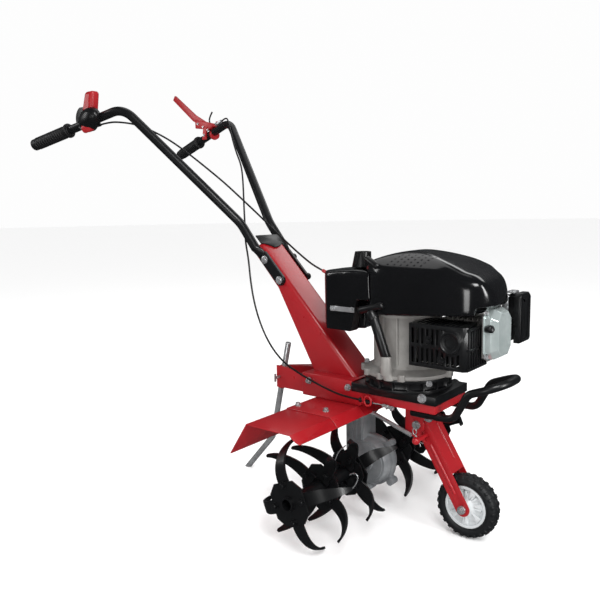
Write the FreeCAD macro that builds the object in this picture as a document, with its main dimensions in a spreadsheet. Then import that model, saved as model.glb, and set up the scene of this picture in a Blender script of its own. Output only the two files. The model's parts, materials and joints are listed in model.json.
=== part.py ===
"""Front-tine tiller, in millimetres: +X forward, +Y to the machine's left, +Z up, standing on z = 0.

The machine is drawn with x = 0 at the tine axle. At the end every sub-part is moved along X, so that the
origin lies on the ground under the middle of the overall length.
"""
import FreeCAD, Part
import math
import os
import re

import Sketcher
from FreeCAD import Placement, Rotation, Vector

doc = FreeCAD.newDocument("front_tine_tiller")

# ---------------------------------------------------------------- driving dimensions
SIZES = {
    # tine rotor
    "axle_height": 127,          # tine axle above the ground
    "outer_phase": 22,           # turn of the outermost plate at rest
    "shaft_radius": 12,          # solid output shaft of the gearbox
    "mouth_radius": 12.55,       # wider mouth of the outer sleeve, for a 25 mm extension shaft
    "mouth_long": 110,           # depth of that mouth
    "hub_tube_radius": 16,       # sleeve that carries the tine plates
    "tube_proud": 8,             # how far the sleeve stands out of the outermost plate
    "outer_plate": 328,          # outermost tine plate, from the middle
    "third_plate": 215,
    "second_plate": 118,
    "inner_plate": 102,
    "tine_plate_thick": 4,
    "tine_plate_half": 47.5,     # middle of the tine plate to its flat sides
    "tine_plate_cut": 20,        # chamfer at the plate's corners
    "blade_thick": 5,
    "blade_reach": 127,          # from the axle to a tine's outermost face
    "blade_root_width": 35,
    "blade_tip_width": 12,
    "blade_trail": 10.6,         # how far the tip trails behind the tine's middle line
    "blade_bend_radius": 71,     # of the bend that carries a tine sideways
    "tine_side_reach": 64,       # how far a tine's tip stands beside its plate
    "inner_side_reach": 50,      # the same for the tines beside the gearbox
    # gearbox
    "gear_radius": 66,
    "gear_cover_radius": 54,
    "gear_half": 33,
    "gear_flange_half": 8,
    "gear_neck_front": -9,
    "gear_neck_rear": -62,
    "gear_neck_half": 28,
    "gear_lug_radius": 74,
    "gear_lug_size": 9,
    "gear_rib": 3,
    "seal_radius": 22,
    "seal_long": 8,
    # deck frame
    "deck_half": 77,
    "deck_front": 218,
    "deck_bottom": 301,
    "deck_seam": 322,
    "deck_top": 342,
    "deck_rear": -165,
    "cover_rear": -8,
    "skirt_bottom": 286,
    "sheet": 3,
    "seat": 0.3,                 # gap between two pieces that rest against each other
    # handle column
    "column_half": 45,
    "column_top_x": -331,
    "column_top_z": 672,
    "column_foot_x": -18,
    "column_fold": 12,           # outer radius of the column's long folds
    # guards over the tines
    "guard_top": 286,
    "guard_rear": -122,
    "guard_front": 10,
    "guard_inner_end": 189,
    "guard_outer_start": 150,
    "guard_end": 330,
    "guard_rear_flap": 98,
    "guard_rear_angle": 55.8,
    "guard_front_flap": 29,
    "guard_front_angle": 43.6,
    "guard_sheet": 2,
    "guard_corner": 20,
    # transport wheel and its arm
    "wheel_x": 265,
    "tyre_radius": 75,
    "tyre_half": 20,
    "rim_radius": 50,
    "wheel_bolt_radius": 6,
    "pivot_x": 149,
    "pivot_z": 254,
    "arm_half": 31,
    "arm_width": 34,
    "arm_sheet": 3,
    "lock_pin_x": 171,
    "lock_pin_z": 232,
    "lock_pin_radius": 5,
    "bracket_rear": 118,
    "bracket_low": 228,
    # drag stake
    "stake_width": 16,
    "stake_top_x": -277,
    "stake_top_z": 397,
    "stake_bend_x": -343,
    "stake_bend_z": 116,
    "stake_end_x": -448,
    # handles
    "handle_radius": 12.5,
    "grip_radius": 17,
    "grip_long": 150,
    "handle_flat": 9,            # thickness of the handle's flattened foot
    "handle_flat_wide": 30,
    "handle_bolt_radius": 4,
    "handle_washer": 11,
    "handle_drop": 13,           # from the column's front face back to the middle of the handle's foot
    # engine
    "engine_x": 105,
    "engine_ring_radius": 108,
    "engine_ring_bottom": 372,
    "engine_ring_top": 385,
    "case_radius": 80,
    "case_top": 513,
    "hood_bottom": 520,
    "hood_half": 104,            # half the hood's width, and its radius about the crankshaft
    "hood_front": 350,
    "hood_top": 667,
    "hood_notch": 552,           # underside of the hood's nose, over the valve cover
    "tank_rear": -125,
    "tank_bottom": 470,
    "tank_step": 548,            # underside of the tank where it wraps round the hood
    "tank_top": 620,
    "guard_box_bottom": 418,
    "guard_box_top": 512,
}

sheet = doc.addObject("Spreadsheet::Sheet", "sizes")
for row, (alias, value) in enumerate(SIZES.items(), start=1):
    sheet.set(f"A{row}", alias)
    sheet.set(f"B{row}", str(value))
    sheet.setAlias(f"B{row}", alias)
doc.recompute()


def value(text):
    """The number that a size expression comes to."""
    sheet.set("D1", "=" + text)
    sheet.recompute()
    return float(sheet.get("D1"))


ALIAS = re.compile(r"\b(" + "|".join(sorted(SIZES, key=len, reverse=True)) + r")\b")


def bind(item, prop, text):
    """Ties one property of an object to the sheet."""
    item.setExpression(prop, ALIAS.sub(r"sizes.\1", text))


# ---------------------------------------------------------------- ways of making a piece
PLANE = {"side": "XZ_Plane", "front": "YZ_Plane", "top": "XY_Plane"}
parts = []


def keep(item, label):
    """Marks an object as a sub-part that is written out under its label."""
    item.Label = label
    parts.append(item)
    return item


def outline(name, plane, corners, thick, start=None):
    """A pad on a sketch whose corners are pairs of size expressions.

    Without start it lies evenly about the plane. With start it runs from there towards plus, by thick.
    """
    body = doc.addObject("PartDesign::Body", name)
    sketch = body.newObject("Sketcher::SketchObject", name + "_sketch")
    base = [f for f in body.Origin.OriginFeatures if f.Role == PLANE[plane]][0]
    sketch.AttachmentSupport = [(base, "")]
    sketch.MapMode = "FlatFace"
    spots = [(value(u), value(v)) for u, v in corners]
    count = len(spots)
    for n in range(count):
        a, b = spots[n], spots[(n + 1) % count]
        sketch.addGeometry(Part.LineSegment(Vector(*a, 0), Vector(*b, 0)), False)
    for n in range(count):
        sketch.addConstraint(Sketcher.Constraint("Coincident", n, 2, (n + 1) % count, 1))
    for n in range(count):
        for kind, k in (("DistanceX", 0), ("DistanceY", 1)):
            c = sketch.addConstraint(Sketcher.Constraint(kind, -1, 1, n, 1, spots[n][k]))
            bind(sketch, f"Constraints[{c}]", corners[n][k])
    pad = body.newObject("PartDesign::Pad", name + "_pad")
    pad.Profile = sketch
    bind(pad, "Length", thick)
    if start is None:
        pad.Midplane = True
    elif plane == "side":
        pad.Reversed = True
        bind(sketch, "AttachmentOffset.Base.z", f"-({start})")
    else:
        bind(sketch, "AttachmentOffset.Base.z", start)
    return body


def box(name, low, long):
    """A box from its low corner and its three lengths, each a size expression."""
    item = doc.addObject("Part::Box", name)
    for prop, text in zip(("Length", "Width", "Height"), long):
        bind(item, prop, text)
    for axis, text in zip("xyz", low):
        bind(item, "Placement.Base." + axis, text)
    return item


TURN = {"x": Rotation(Vector(0, 1, 0), 90), "y": Rotation(Vector(1, 0, 0), -90), "z": Rotation()}


def cylinder(name, radius, long, start, axis="z"):
    """A cylinder from its start point along plus X, Y or Z."""
    item = doc.addObject("Part::Cylinder", name)
    item.Placement = Placement(Vector(), TURN[axis])
    bind(item, "Radius", radius)
    bind(item, "Height", long)
    for letter, text in zip("xyz", start):
        bind(item, "Placement.Base." + letter, text)
    return item


def fuse(name, pieces):
    item = doc.addObject("Part::MultiFuse", name)
    item.Shapes = pieces
    return item


def common(name, pieces):
    item = doc.addObject("Part::MultiCommon", name)
    item.Shapes = pieces
    return item


def cut(name, base, tools):
    tool = tools[0] if len(tools) == 1 else fuse(name + "_tools", tools)
    item = doc.addObject("Part::Cut", name)
    item.Base = base
    item.Tool = tool
    return item


def feature(name, shape):
    item = doc.addObject("Part::Feature", name)
    item.Shape = shape
    return item


def bent_path(points, radii):
    """Straight runs joined by tangent arcs, as one wire."""
    edges = []
    start = points[0]
    for k in range(1, len(points) - 1):
        p, here, q = points[k - 1], points[k], points[k + 1]
        back = (p - here).normalize()
        on = (q - here).normalize()
        turn = math.pi - back.getAngle(on)
        reach = radii[k - 1] * math.tan(turn / 2)
        a, b = here + back * reach, here + on * reach
        centre = here + (back + on).normalize() * (radii[k - 1] / math.cos(turn / 2))
        middle = centre + (here - centre).normalize() * radii[k - 1]
        edges.append(Part.LineSegment(start, a).toShape())
        edges.append(Part.Arc(a, middle, b).toShape())
        start = b
    edges.append(Part.LineSegment(start, points[-1]).toShape())
    return Part.Wire(edges)


def tube_along(wire, radius):
    """A round solid along a wire of runs and arcs."""
    first = wire.Edges[0]
    spot = first.valueAt(first.FirstParameter)
    ring = Part.Wire(Part.makeCircle(radius, spot, first.tangentAt(first.FirstParameter)))
    return wire.makePipeShell([ring], True, True)


def prism(plane, marks, low, high):
    """A solid between two levels. A mark of three entries is a point that an arc passes through."""
    place = {"side": lambda u, v: Vector(u, low, v), "front": lambda u, v: Vector(low, u, v),
             "top": lambda u, v: Vector(u, v, low)}[plane]
    way = {"side": Vector(0, 1, 0), "front": Vector(1, 0, 0), "top": Vector(0, 0, 1)}[plane]
    count = len(marks)
    edges = []
    k = 0
    while k < count:
        here, after = place(*marks[k][:2]), marks[(k + 1) % count]
        if len(after) == 3:
            edges.append(Part.Arc(here, place(*after[:2]), place(*marks[(k + 2) % count][:2])).toShape())
            k += 2
        else:
            edges.append(Part.LineSegment(here, place(*after)).toShape())
            k += 1
    return Part.Face(Part.Wire(edges)).extrude(way * (high - low))


def round_edges(shape, radius, wanted):
    """Rounds the edges that a test picks out."""
    return shape.makeFillet(radius, [e for e in shape.Edges if wanted(e)])


def rod(start, end, radius, tip=None):
    """A round bar between two points, which tapers if its tip has a radius of its own."""
    way = end - start
    if tip is None:
        return Part.makeCylinder(radius, way.Length, start, way)
    return Part.makeCone(radius, tip, way.Length, start, way)


# ---------------------------------------------------------------- tine rotor
def tine_blank(side):
    """One tine at angle 0: a flat bar that runs out along X and sweeps round to plus Y, by side."""
    thick, bend, reach = value("blade_thick"), value("blade_bend_radius"), value("blade_reach")
    root, tip = value("blade_root_width") / 2, value("blade_tip_width") / 2
    trail = value("blade_trail")
    start = reach - bend - thick / 2
    heel = value("hub_tube_radius") + 4
    turn = math.acos(1 - side / bend)
    outer, inner = bend + thick / 2, bend - thick / 2

    def ring(radius, angle):
        return start + radius * math.sin(angle), outer - radius * math.cos(angle)

    bar = prism("top", [
        (heel, 0), (start, 0), (*ring(outer, turn / 2), "arc"), ring(outer, turn), ring(inner, turn),
        (*ring(inner, turn / 2), "arc"), (start, thick), (heel, thick),
    ], -2 * root, 2 * root)
    waist = (root + tip) / 2 - 1.5
    half_way = (start + reach) / 2
    beside = prism("side", [
        (0, -root), (half_way, -waist), (reach + 4, -waist), (reach + 4, tip), (half_way, root - 1.5, "arc"),
        (start, root), (0, root),
    ], -side, 2 * side)
    ahead = prism("front", [
        (-side, -root), (0, -root), (0.42 * side, -waist, "arc"), (0.9 * side, -trail - tip),
        (1.1 * side, tip - trail), (0.42 * side, waist, "arc"), (0, root + 2), (-side, root + 2),
    ], 0, 2 * reach)
    return bar.common(beside).common(ahead)


def tine_plate(y):
    """The square hub plate with cut corners, its inner face at y."""
    half, chop = value("tine_plate_half"), value("tine_plate_cut")
    corners = []
    for u, v in ((1, 1), (-1, 1), (-1, -1), (1, -1)):
        pair = [Vector(u * half, y, v * (half - chop)), Vector(u * (half - chop), y, v * half)]
        corners += pair if u == v else pair[::-1]
    face = Part.Face(Part.makePolygon(corners + corners[:1]))
    return face.extrude(Vector(0, value("tine_plate_thick"), 0))


def tine_wheel(y, phase, outward, side):
    """One plate with four tines, turned to its phase. Its plate lies from y outwards in plus Y."""
    blank = tine_blank(side)
    if not outward:
        blank = blank.mirror(Vector(), Vector(0, 1, 0))
    plate = tine_plate(y)
    if outward:
        blank.translate(Vector(0, y + value("tine_plate_thick"), 0))
    else:
        blank.translate(Vector(0, y, 0))
    pieces = [plate]
    for quarter in range(4):
        blade = blank.copy()
        blade.rotate(Vector(), Vector(0, 1, 0), 90 * quarter)
        pieces.append(blade)
    whole = pieces[0].fuse(pieces[1:])
    whole.rotate(Vector(), Vector(0, 1, 0), -phase)
    return whole


def tine_reel(near, far, near_phase, far_phase, start, end):
    """A sleeve with an inward and an outward tine wheel on it, on the plus Y side, about the axle."""
    sleeve = Part.makeCylinder(value("hub_tube_radius"), end - start, Vector(0, start, 0), Vector(0, 1, 0))
    bore = Part.makeCylinder(value("shaft_radius") + 0.05, end - start + 2, Vector(0, start - 1, 0),
                             Vector(0, 1, 0))
    solid = sleeve.fuse([tine_wheel(near, near_phase, False, value("inner_side_reach")),
                         tine_wheel(far, far_phase, True, value("tine_side_reach"))])
    solid = solid.cut(bore)
    solid.translate(Vector(0, 0, value("axle_height")))
    return solid


def tine_reels():
    inner = tine_reel(value("inner_plate"), value("second_plate"), -54, -26,
                      value("gear_half + seal_long + 2"), value("third_plate") - 45)
    plate = value("tine_plate_thick")
    outer_near = value("third_plate")
    sleeve_start = value("third_plate") - 44
    outer = outer_reel(outer_near, value("outer_plate") - plate, sleeve_start)
    for side, label in ((-1, "right"), (1, "left")):
        for shape, kind in ((inner, "inner"), (outer, "outer")):
            whole = shape if side > 0 else shape.mirror(Vector(), Vector(0, 1, 0))
            keep(feature(f"{label}_{kind}_tines", whole), f"{label}_{kind}_tines")


def outer_reel(third, outer, start):
    """The outer reel: tines of its two plates bend towards each other."""
    end = value("outer_plate + tube_proud")
    sleeve = Part.makeCylinder(value("hub_tube_radius"), end - start, Vector(0, start, 0), Vector(0, 1, 0))
    bore = Part.makeCylinder(value("shaft_radius") + 0.05, end - start + 2, Vector(0, start - 1, 0),
                             Vector(0, 1, 0))
    mouth = Part.makeCylinder(value("mouth_radius"), value("mouth_long") + 1,
                              Vector(0, end - value("mouth_long"), 0), Vector(0, 1, 0))
    side = value("tine_side_reach")
    phase = value("outer_phase")
    solid = sleeve.fuse([tine_wheel(third, 147, True, side), tine_wheel(outer, phase, False, side)])
    solid = solid.cut([bore, mouth])
    solid.translate(Vector(0, 0, value("axle_height")))
    return solid


def tine_shaft():
    keep(cylinder("tine_shaft", "shaft_radius", "2*third_plate + 20",
                  ("0", "-third_plate - 10", "axle_height"), "y"), "tine_shaft")


# ---------------------------------------------------------------- gearbox
def gearbox():
    flange = cylinder("gear_flange", "gear_radius", "2*gear_flange_half",
                      ("0", "-gear_flange_half", "axle_height"), "y")
    halves = []
    for sign, name in ((1, "left"), (-1, "right")):
        cone = doc.addObject("Part::Cone", "gear_cover_" + name)
        cone.Placement = Placement(Vector(), Rotation(Vector(1, 0, 0), -90 * sign))
        bind(cone, "Radius1", "gear_radius - 4")
        bind(cone, "Radius2", "gear_cover_radius")
        bind(cone, "Height", "gear_half - gear_rib")
        bind(cone, "Placement.Base.z", "axle_height")
        halves.append(cone)
        for kind, radius, long, depth in (("face", "gear_cover_radius - 6", "gear_rib", "gear_half"),
                                          ("seal", "seal_radius", "seal_long", "gear_half + seal_long")):
            start = f"{depth} - ({long})" if sign > 0 else f"-({depth})"
            halves.append(cylinder(f"{kind}_{name}", radius, long, ("0", start, "axle_height"), "y"))
    neck = box("gear_neck", ("gear_neck_rear", "-gear_neck_half", "axle_height"),
               ("gear_neck_front - gear_neck_rear", "2*gear_neck_half", "skirt_bottom - axle_height"))
    ribs = []
    for n in range(4):
        ribs.append(box(f"gear_neck_rib{n}",
                        (f"gear_neck_rear + 4 + {n}*(gear_neck_front - gear_neck_rear - 8 - gear_rib)/3",
                         "-gear_neck_half - gear_rib", "axle_height + gear_cover_radius"),
                        ("gear_rib", "2*(gear_neck_half + gear_rib)",
                         "skirt_bottom - axle_height - gear_cover_radius")))
    lugs = []
    for n, angle in enumerate((44, -38, -95, 134)):
        lugs.append(cylinder(f"gear_lug{n}", "gear_lug_size", "2*gear_flange_half + 10",
                             (f"gear_lug_radius*cos({angle})", "-gear_flange_half - 5",
                              f"axle_height + gear_lug_radius*sin({angle})"), "y"))
        lugs.append(box(f"gear_lug_web{n}",
                        (f"(gear_lug_radius - gear_lug_size)*cos({angle}) - 8", "-gear_flange_half",
                         f"axle_height + (gear_lug_radius - gear_lug_size)*sin({angle}) - 8"),
                        ("16", "2*gear_flange_half", "16")))
    bore = cylinder("gear_bore", "shaft_radius + 0.05", "4*gear_half",
                    ("0", "-2*gear_half", "axle_height"), "y")
    casting = fuse("gear_casting", [flange, neck] + halves + ribs + lugs)
    keep(cut("gearbox", casting, [bore]), "gearbox")
    depth = value("gear_half") + 8.2
    keep(feature("gearbox_brace", rod(Vector(-6, -depth, 274), Vector(138, -depth, 228), 5)), "gearbox_brace")


# ---------------------------------------------------------------- deck
def deck_frame():
    shell = outline("deck_shell", "side", [
        ("deck_rear", "deck_top + sheet"), ("deck_rear", "skirt_bottom"), ("guard_front + 4", "skirt_bottom"),
        ("guard_front + 14", "deck_bottom"), ("deck_front", "deck_bottom"), ("deck_front", "deck_seam"),
        ("deck_front", "deck_top - sheet"), ("cover_rear", "deck_top - sheet"),
        ("cover_rear", "deck_top + sheet"),
    ], "2*deck_half")
    hollow = outline("deck_hollow", "side", [
        ("deck_rear - 10", "deck_top"), ("deck_rear - 10", "skirt_bottom + sheet"),
        ("guard_front + 2", "skirt_bottom + sheet"), ("guard_front + 12", "deck_bottom + sheet"),
        ("deck_front - sheet", "deck_bottom + sheet"), ("deck_front - sheet", "deck_top + 10"),
        ("cover_rear + sheet", "deck_top + 10"), ("cover_rear + sheet", "deck_top"),
    ], "2*(deck_half - sheet)")
    keep(cut("deck_frame", shell, [hollow]), "deck_frame")


def cover_plate():
    outer = box("cover_outer", ("cover_rear", "-deck_half - sheet", "deck_seam - 1"),
                ("deck_front - cover_rear + sheet", "2*(deck_half + sheet)", "deck_top - deck_seam + 1"))
    inner = box("cover_inner", ("cover_rear - 1", "-deck_half - 0.1", "deck_seam - 2"),
                ("deck_front - cover_rear + 1.1", "2*deck_half + 0.2", "deck_top - sheet - deck_seam + 2"))
    keep(cut("cover_plate", outer, [inner]), "cover_plate")


def column_line(run, off=0.0):
    """A point on the column's front face line, run down it from the top, off towards the engine."""
    top = Vector(value("column_top_x"), 0, value("column_top_z"))
    foot = Vector(value("column_foot_x"), 0, value("deck_top + sheet"))
    along = (foot - top).normalize()
    return top + along * run + Vector(-along.z, 0, along.x) * off


HANDLE_BOLT_RUNS = (47, 120)     # where the two handle bolts cross the column, down from its top


def handle_bolt_spots():
    """The middle of each handle bolt, level with the handle tubes' flattened feet."""
    return [column_line(run, -value("handle_drop")) for run in HANDLE_BOLT_RUNS]


def handle_column():
    half, thick = value("column_half"), value("sheet")
    top_x, top_z = value("column_top_x"), value("column_top_z")
    foot_x, deck = value("column_foot_x"), value("deck_top + sheet")
    shell = prism("side", [(top_x, top_z), (top_x - 24, top_z - 23), (-269, 556), (-150, deck), (foot_x, deck)],
                  -half, half)
    shell = round_edges(shell, value("column_fold"), front_fold)
    rim = column_line(4, -thick)
    low = column_line((top_z - deck) * 1.5, -thick)
    hollow = prism("side", [(rim.x, rim.z), (rim.x - 60, rim.z - 57), (-300, 540), (-200, low.z), (low.x, low.z)],
                   thick - half, half - thick)
    hollow = round_edges(hollow, value("column_fold") - thick, front_fold)
    solid = shell.cut(hollow)
    hole = value("handle_bolt_radius") + 0.1
    for spot in handle_bolt_spots():
        solid = solid.cut(Part.makeCylinder(hole, 4 * half, spot - Vector(0, 2 * half, 0), Vector(0, 1, 0)))
    keep(feature("handle_column", solid), "handle_column")


def front_fold(edge):
    """Whether an edge is one of the two long ones along the column's front face."""
    ends = [v.Point for v in edge.Vertexes]
    return len(ends) == 2 and abs(ends[0].y - ends[1].y) < 0.01 and (ends[0] - ends[1]).Length > 380


# ---------------------------------------------------------------- guards
def guard(label, side, start, end, depth):
    """A folded guard strip over the tines, its top depth below the guard's top face."""

    def line(below):
        rear = (f"guard_rear - guard_rear_flap*cos(guard_rear_angle) + ({below})*sin(guard_rear_angle)",
                f"guard_top - guard_rear_flap*sin(guard_rear_angle) - ({below})*cos(guard_rear_angle)")
        front = (f"guard_front + guard_front_flap*cos(guard_front_angle) - ({below})*sin(guard_front_angle)",
                 f"guard_top - guard_front_flap*sin(guard_front_angle) - ({below})*cos(guard_front_angle)")
        return [rear, (f"guard_rear + ({below})*tan(guard_rear_angle/2)", f"guard_top - ({below})"),
                (f"guard_front - ({below})*tan(guard_front_angle/2)", f"guard_top - ({below})"), front]

    corners = line(depth) + line(f"{depth} + guard_sheet")[::-1]
    first = start if side > 0 else f"-({end})"
    return outline(label, "side", corners, f"({end}) - ({start})", first)


def guards():
    for side, name in ((-1, "right"), (1, "left")):
        start = "gear_neck_half + gear_rib + seat"
        strip = guard(f"{name}_inner_strip", side, start, "guard_inner_end", "0")
        low = start if side > 0 else "-(deck_half - 1)"
        notch = box(f"{name}_guard_notch", ("gear_neck_front", low, "guard_top - 60"),
                    ("80", f"deck_half - 1 - ({start})", "80"))
        keep(cut(f"{name}_inner_guard", strip, [notch]), f"{name}_inner_guard")
        outer = guard(f"{name}_outer_strip", side, "guard_outer_start", "guard_end", "guard_sheet")
        corner = "guard_end - guard_corner" if side > 0 else "-guard_end"
        square = box(f"{name}_guard_square", ("guard_front", corner, "guard_top - 60"),
                     ("60", "guard_corner", "80"))
        disc = cylinder(f"{name}_guard_round", "guard_corner", "100",
                        ("guard_front + guard_front_flap*cos(guard_front_angle) - guard_corner",
                         f"{side}*(guard_end - guard_corner)", "guard_top - 70"))
        waste = cut(f"{name}_guard_waste", square, [disc])
        keep(cut(f"{name}_outer_guard", outer, [waste]), f"{name}_outer_guard")


# ---------------------------------------------------------------- handles
HANDLE_BENDS = (90, 70)          # radius of the tube's middle line at its knee and at its crown
HANDLE_FACETS = 24               # sides of the neck between the round tube and its flattened foot


def handle_points():
    """The left handle tube from its flattened foot beside the column to its grip."""
    y = value("column_half + handle_radius + seat")
    foot = column_line(HANDLE_BOLT_RUNS[0] - 40, -value("handle_drop"))
    foot.y = y
    return [foot, Vector(-390, y, 726), Vector(-690, 205, 1050), Vector(-1028, 281, 969)]


def handle_foot():
    """The flattened foot of the left handle, bored for its two bolts, and its neck up to the round tube."""
    wide, thick, radius = value("handle_flat_wide") / 2, value("handle_flat"), value("handle_radius")
    drop, gap = value("handle_drop"), value("column_half + seat")
    start, knee = handle_points()[:2]
    along = (start - knee).normalize()
    across = Vector(-along.z, 0, along.x)
    top_run, end_run = HANDLE_BOLT_RUNS[0] - 16, HANDLE_BOLT_RUNS[1]
    top = column_line(top_run, -drop) + Vector(0, gap + thick / 2, 0)
    inside = start - along * 2
    step = 0.8

    def oval(spot, long, short):
        turns = [math.tau * n / HANDLE_FACETS for n in range(HANDLE_FACETS)]
        ring = [spot + across * (long * math.cos(t)) + Vector(0, short * math.sin(t), 0) for t in turns]
        return Part.makePolygon(ring + ring[:1])

    neck = Part.makeLoft([oval(inside, radius - step, radius - step), oval(top, wide, thick / 2)], True, True)
    corners = [column_line(run, off - drop) for run, off in
               ((top_run, wide), (top_run, -wide), (end_run, -wide), (end_run + wide, 0), (end_run, wide))]
    marks = [(c.x, c.z) for c in corners]
    marks[3] += ("arc",)
    flat = prism("side", marks, gap, gap + thick)
    flat = round_edges(flat, thick / 3, lambda e: min(v.Point.y for v in e.Vertexes) > gap + thick / 2)
    foot = neck.fuse(flat)
    for run in HANDLE_BOLT_RUNS:
        spot = column_line(run, -drop)
        foot = foot.cut(Part.makeCylinder(value("handle_bolt_radius") + 0.1, 100, spot, Vector(0, 1, 0)))
    return foot


def handles():
    points = handle_points()
    tube = tube_along(bent_path(points, HANDLE_BENDS), value("handle_radius")).fuse(handle_foot())
    end, before = points[-1], points[-2]
    along = (end - before).normalize()
    start = end - along * value("grip_long")
    grip = Part.makeCylinder(value("grip_radius"), value("grip_long") + 4, start, along)
    bore = Part.makeCylinder(value("handle_radius") + 0.1, value("grip_long") + 0.2, start - along * 0.1, along)
    grip = grip.cut(bore)
    for side, name in ((-1, "right"), (1, "left")):
        for shape, kind in ((tube, "handle"), (grip, "grip")):
            whole = shape if side > 0 else shape.mirror(Vector(), Vector(0, 1, 0))
            keep(feature(f"{name}_{kind}", whole), f"{name}_{kind}")


def handle_bolts():
    """Two long bolts through both handles and the column, with a wide washer and a knob on the left."""
    radius, washer = value("handle_bolt_radius"), value("handle_washer")
    face = value("column_half + seat + handle_flat")
    bolts, knobs = [], []
    for run in HANDLE_BOLT_RUNS:
        spot = column_line(run, -value("handle_drop"))
        right, left = Vector(spot.x, -face, spot.z), Vector(spot.x, face, spot.z)
        bolts.append(rod(right - Vector(0, 6, 0), left + Vector(0, 4, 0), radius).fuse([
            rod(right, right - Vector(0, 2, 0), washer - 0.1), rod(right, right - Vector(0, 7, 0), 6.5)]))
        knobs.append(rod(left, left + Vector(0, 16, 0), washer - 0.1, washer - 2).cut(
            rod(left - Vector(0, 1, 0), left + Vector(0, 4.2, 0), radius + 0.1)))
    keep(feature("handle_bolts", Part.makeCompound(bolts)), "handle_bolts")
    keep(feature("handle_knobs", Part.makeCompound(knobs)), "handle_knobs")


def handle_crosspiece():
    """The black plate over the column's top between the two handles, with a tongue on its lower edge."""
    reach = value("column_half")
    flat = prism("top", [(-27, -reach), (2, -reach), (7, -25, "arc"), (19, -4), (16, 18, "arc"), (2, reach - 3),
                         (-27, reach)], 0, value("sheet"))
    run = column_line(1) - column_line(0)
    flat.rotate(Vector(), Vector(0, 1, 0), math.degrees(math.atan2(-run.z, run.x)))
    flat.translate(column_line(0, value("seat")))
    keep(feature("handle_crosspiece", flat), "handle_crosspiece")


# ---------------------------------------------------------------- transport wheel
def wheel_bracket():
    plates = []
    px, pz = value("pivot_x"), value("pivot_z")
    back, low, top = value("bracket_rear"), value("bracket_low"), value("deck_bottom")
    stop = math.radians(-58)
    hold = math.radians(38)
    edge = 20
    mid = (stop + hold) / 2

    def spot(radius, angle):
        return Vector(px + radius * math.cos(angle), 0, pz + radius * math.sin(angle))

    front = Vector(px + 47, 0, top)
    wire = Part.Wire([
        Part.LineSegment(Vector(back, 0, top), Vector(back, 0, low)).toShape(),
        Part.LineSegment(Vector(back, 0, low), spot(46, stop)).toShape(),
        Part.LineSegment(spot(46, stop), spot(edge, stop)).toShape(),
        Part.Arc(spot(edge, stop), spot(edge, mid), spot(edge, hold)).toShape(),
        Part.LineSegment(spot(edge, hold), spot(46, hold)).toShape(),
        Part.LineSegment(spot(46, hold), front).toShape(),
        Part.LineSegment(front, Vector(back, 0, top)).toShape(),
    ])
    face = Part.Face(wire)
    gap = value("arm_half") + 1
    thick = 4
    for y in (gap, -gap - thick):
        plate = face.extrude(Vector(0, thick, 0))
        plate.translate(Vector(0, y, 0))
        plates.append(plate)
    roof = Part.makeBox(front.x - back, 2 * gap, 4, Vector(back, -gap, top - 4))
    solid = roof.fuse(plates)
    hole = Part.makeCylinder(6.05, 4 * gap, Vector(px, -2 * gap, pz), Vector(0, 1, 0))
    keep(feature("wheel_bracket", solid.cut(hole).removeSplitter()), "wheel_bracket")
    reach = gap + thick
    bolt = Part.makeCylinder(6, 2 * reach, Vector(px, -reach, pz), Vector(0, 1, 0))
    for y, turn in ((reach, 1), (-reach, -1)):
        bolt = bolt.fuse(Part.makeCylinder(10, 5, Vector(px, y, pz), Vector(0, turn, 0)))
    keep(feature("pivot_bolt", bolt), "pivot_bolt")


def wheel_arm():
    ax, az = value("wheel_x"), value("tyre_radius")
    half, thick, wide = value("arm_half"), value("arm_sheet"), value("arm_width") / 2
    px, pz = value("pivot_x"), value("pivot_z")
    lx, lz = value("lock_pin_x"), value("lock_pin_z")
    along = Vector(lx - ax, 0, lz - az).normalize()
    ahead = Vector(-along.z, 0, along.x) * -1

    def spot(run, off):
        return Vector(ax, 0, az) + along * run + ahead * off

    top = (Vector(px, 0, pz) - Vector(ax, 0, az)).dot(along) + 22
    wire = Part.Wire([
        Part.LineSegment(spot(0, wide), spot(top, wide)).toShape(),
        Part.LineSegment(spot(top, wide), spot(top, -wide)).toShape(),
        Part.LineSegment(spot(top, -wide), spot(0, -wide)).toShape(),
        Part.Arc(spot(0, -wide), spot(-wide, 0), spot(0, wide)).toShape(),
    ])
    solid = Part.Face(wire).extrude(Vector(0, 2 * half, 0))
    solid.translate(Vector(0, -half, 0))
    inside = half - thick
    web = value("tyre_radius") + 9

    def slot(low, high, back, front):
        ring = [spot(low, back), spot(high, back), spot(high, front), spot(low, front), spot(low, back)]
        tool = Part.Face(Part.makePolygon(ring)).extrude(Vector(0, 2 * inside, 0))
        tool.translate(Vector(0, -inside, 0))
        return tool

    solid = solid.cut([slot(-40, top + 10, -40, wide - thick), slot(-40, web, -40, 40)])
    for x, z, radius in ((px, pz, 6.05), (ax, az, 6.05)):
        solid = solid.cut(Part.makeCylinder(radius, 200, Vector(x, -100, z), Vector(0, 1, 0)))
    pin = Part.makeCylinder(value("lock_pin_radius"), half + 79, Vector(lx, -78, lz), Vector(0, 1, 0))
    solid = solid.cut(Part.makeCylinder(value("lock_pin_radius") + 0.05, 300, Vector(lx, -150, lz), Vector(0, 1, 0)))
    keep(feature("wheel_arm", solid.removeSplitter()), "wheel_arm")
    pin = pin.fuse(Part.makeSphere(9, Vector(lx, -78, lz)))
    keep(feature("lock_pin", pin), "lock_pin")
    bolt = Part.makeCylinder(6, 2 * half + 1, Vector(ax, -half - 0.5, az), Vector(0, 1, 0))
    for y, turn in ((half, 1), (-half, -1)):
        bolt = bolt.fuse(Part.makeCylinder(9.5, 6, Vector(ax, y, az), Vector(0, turn, 0)))
    keep(feature("wheel_bolt", bolt), "wheel_bolt")


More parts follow.
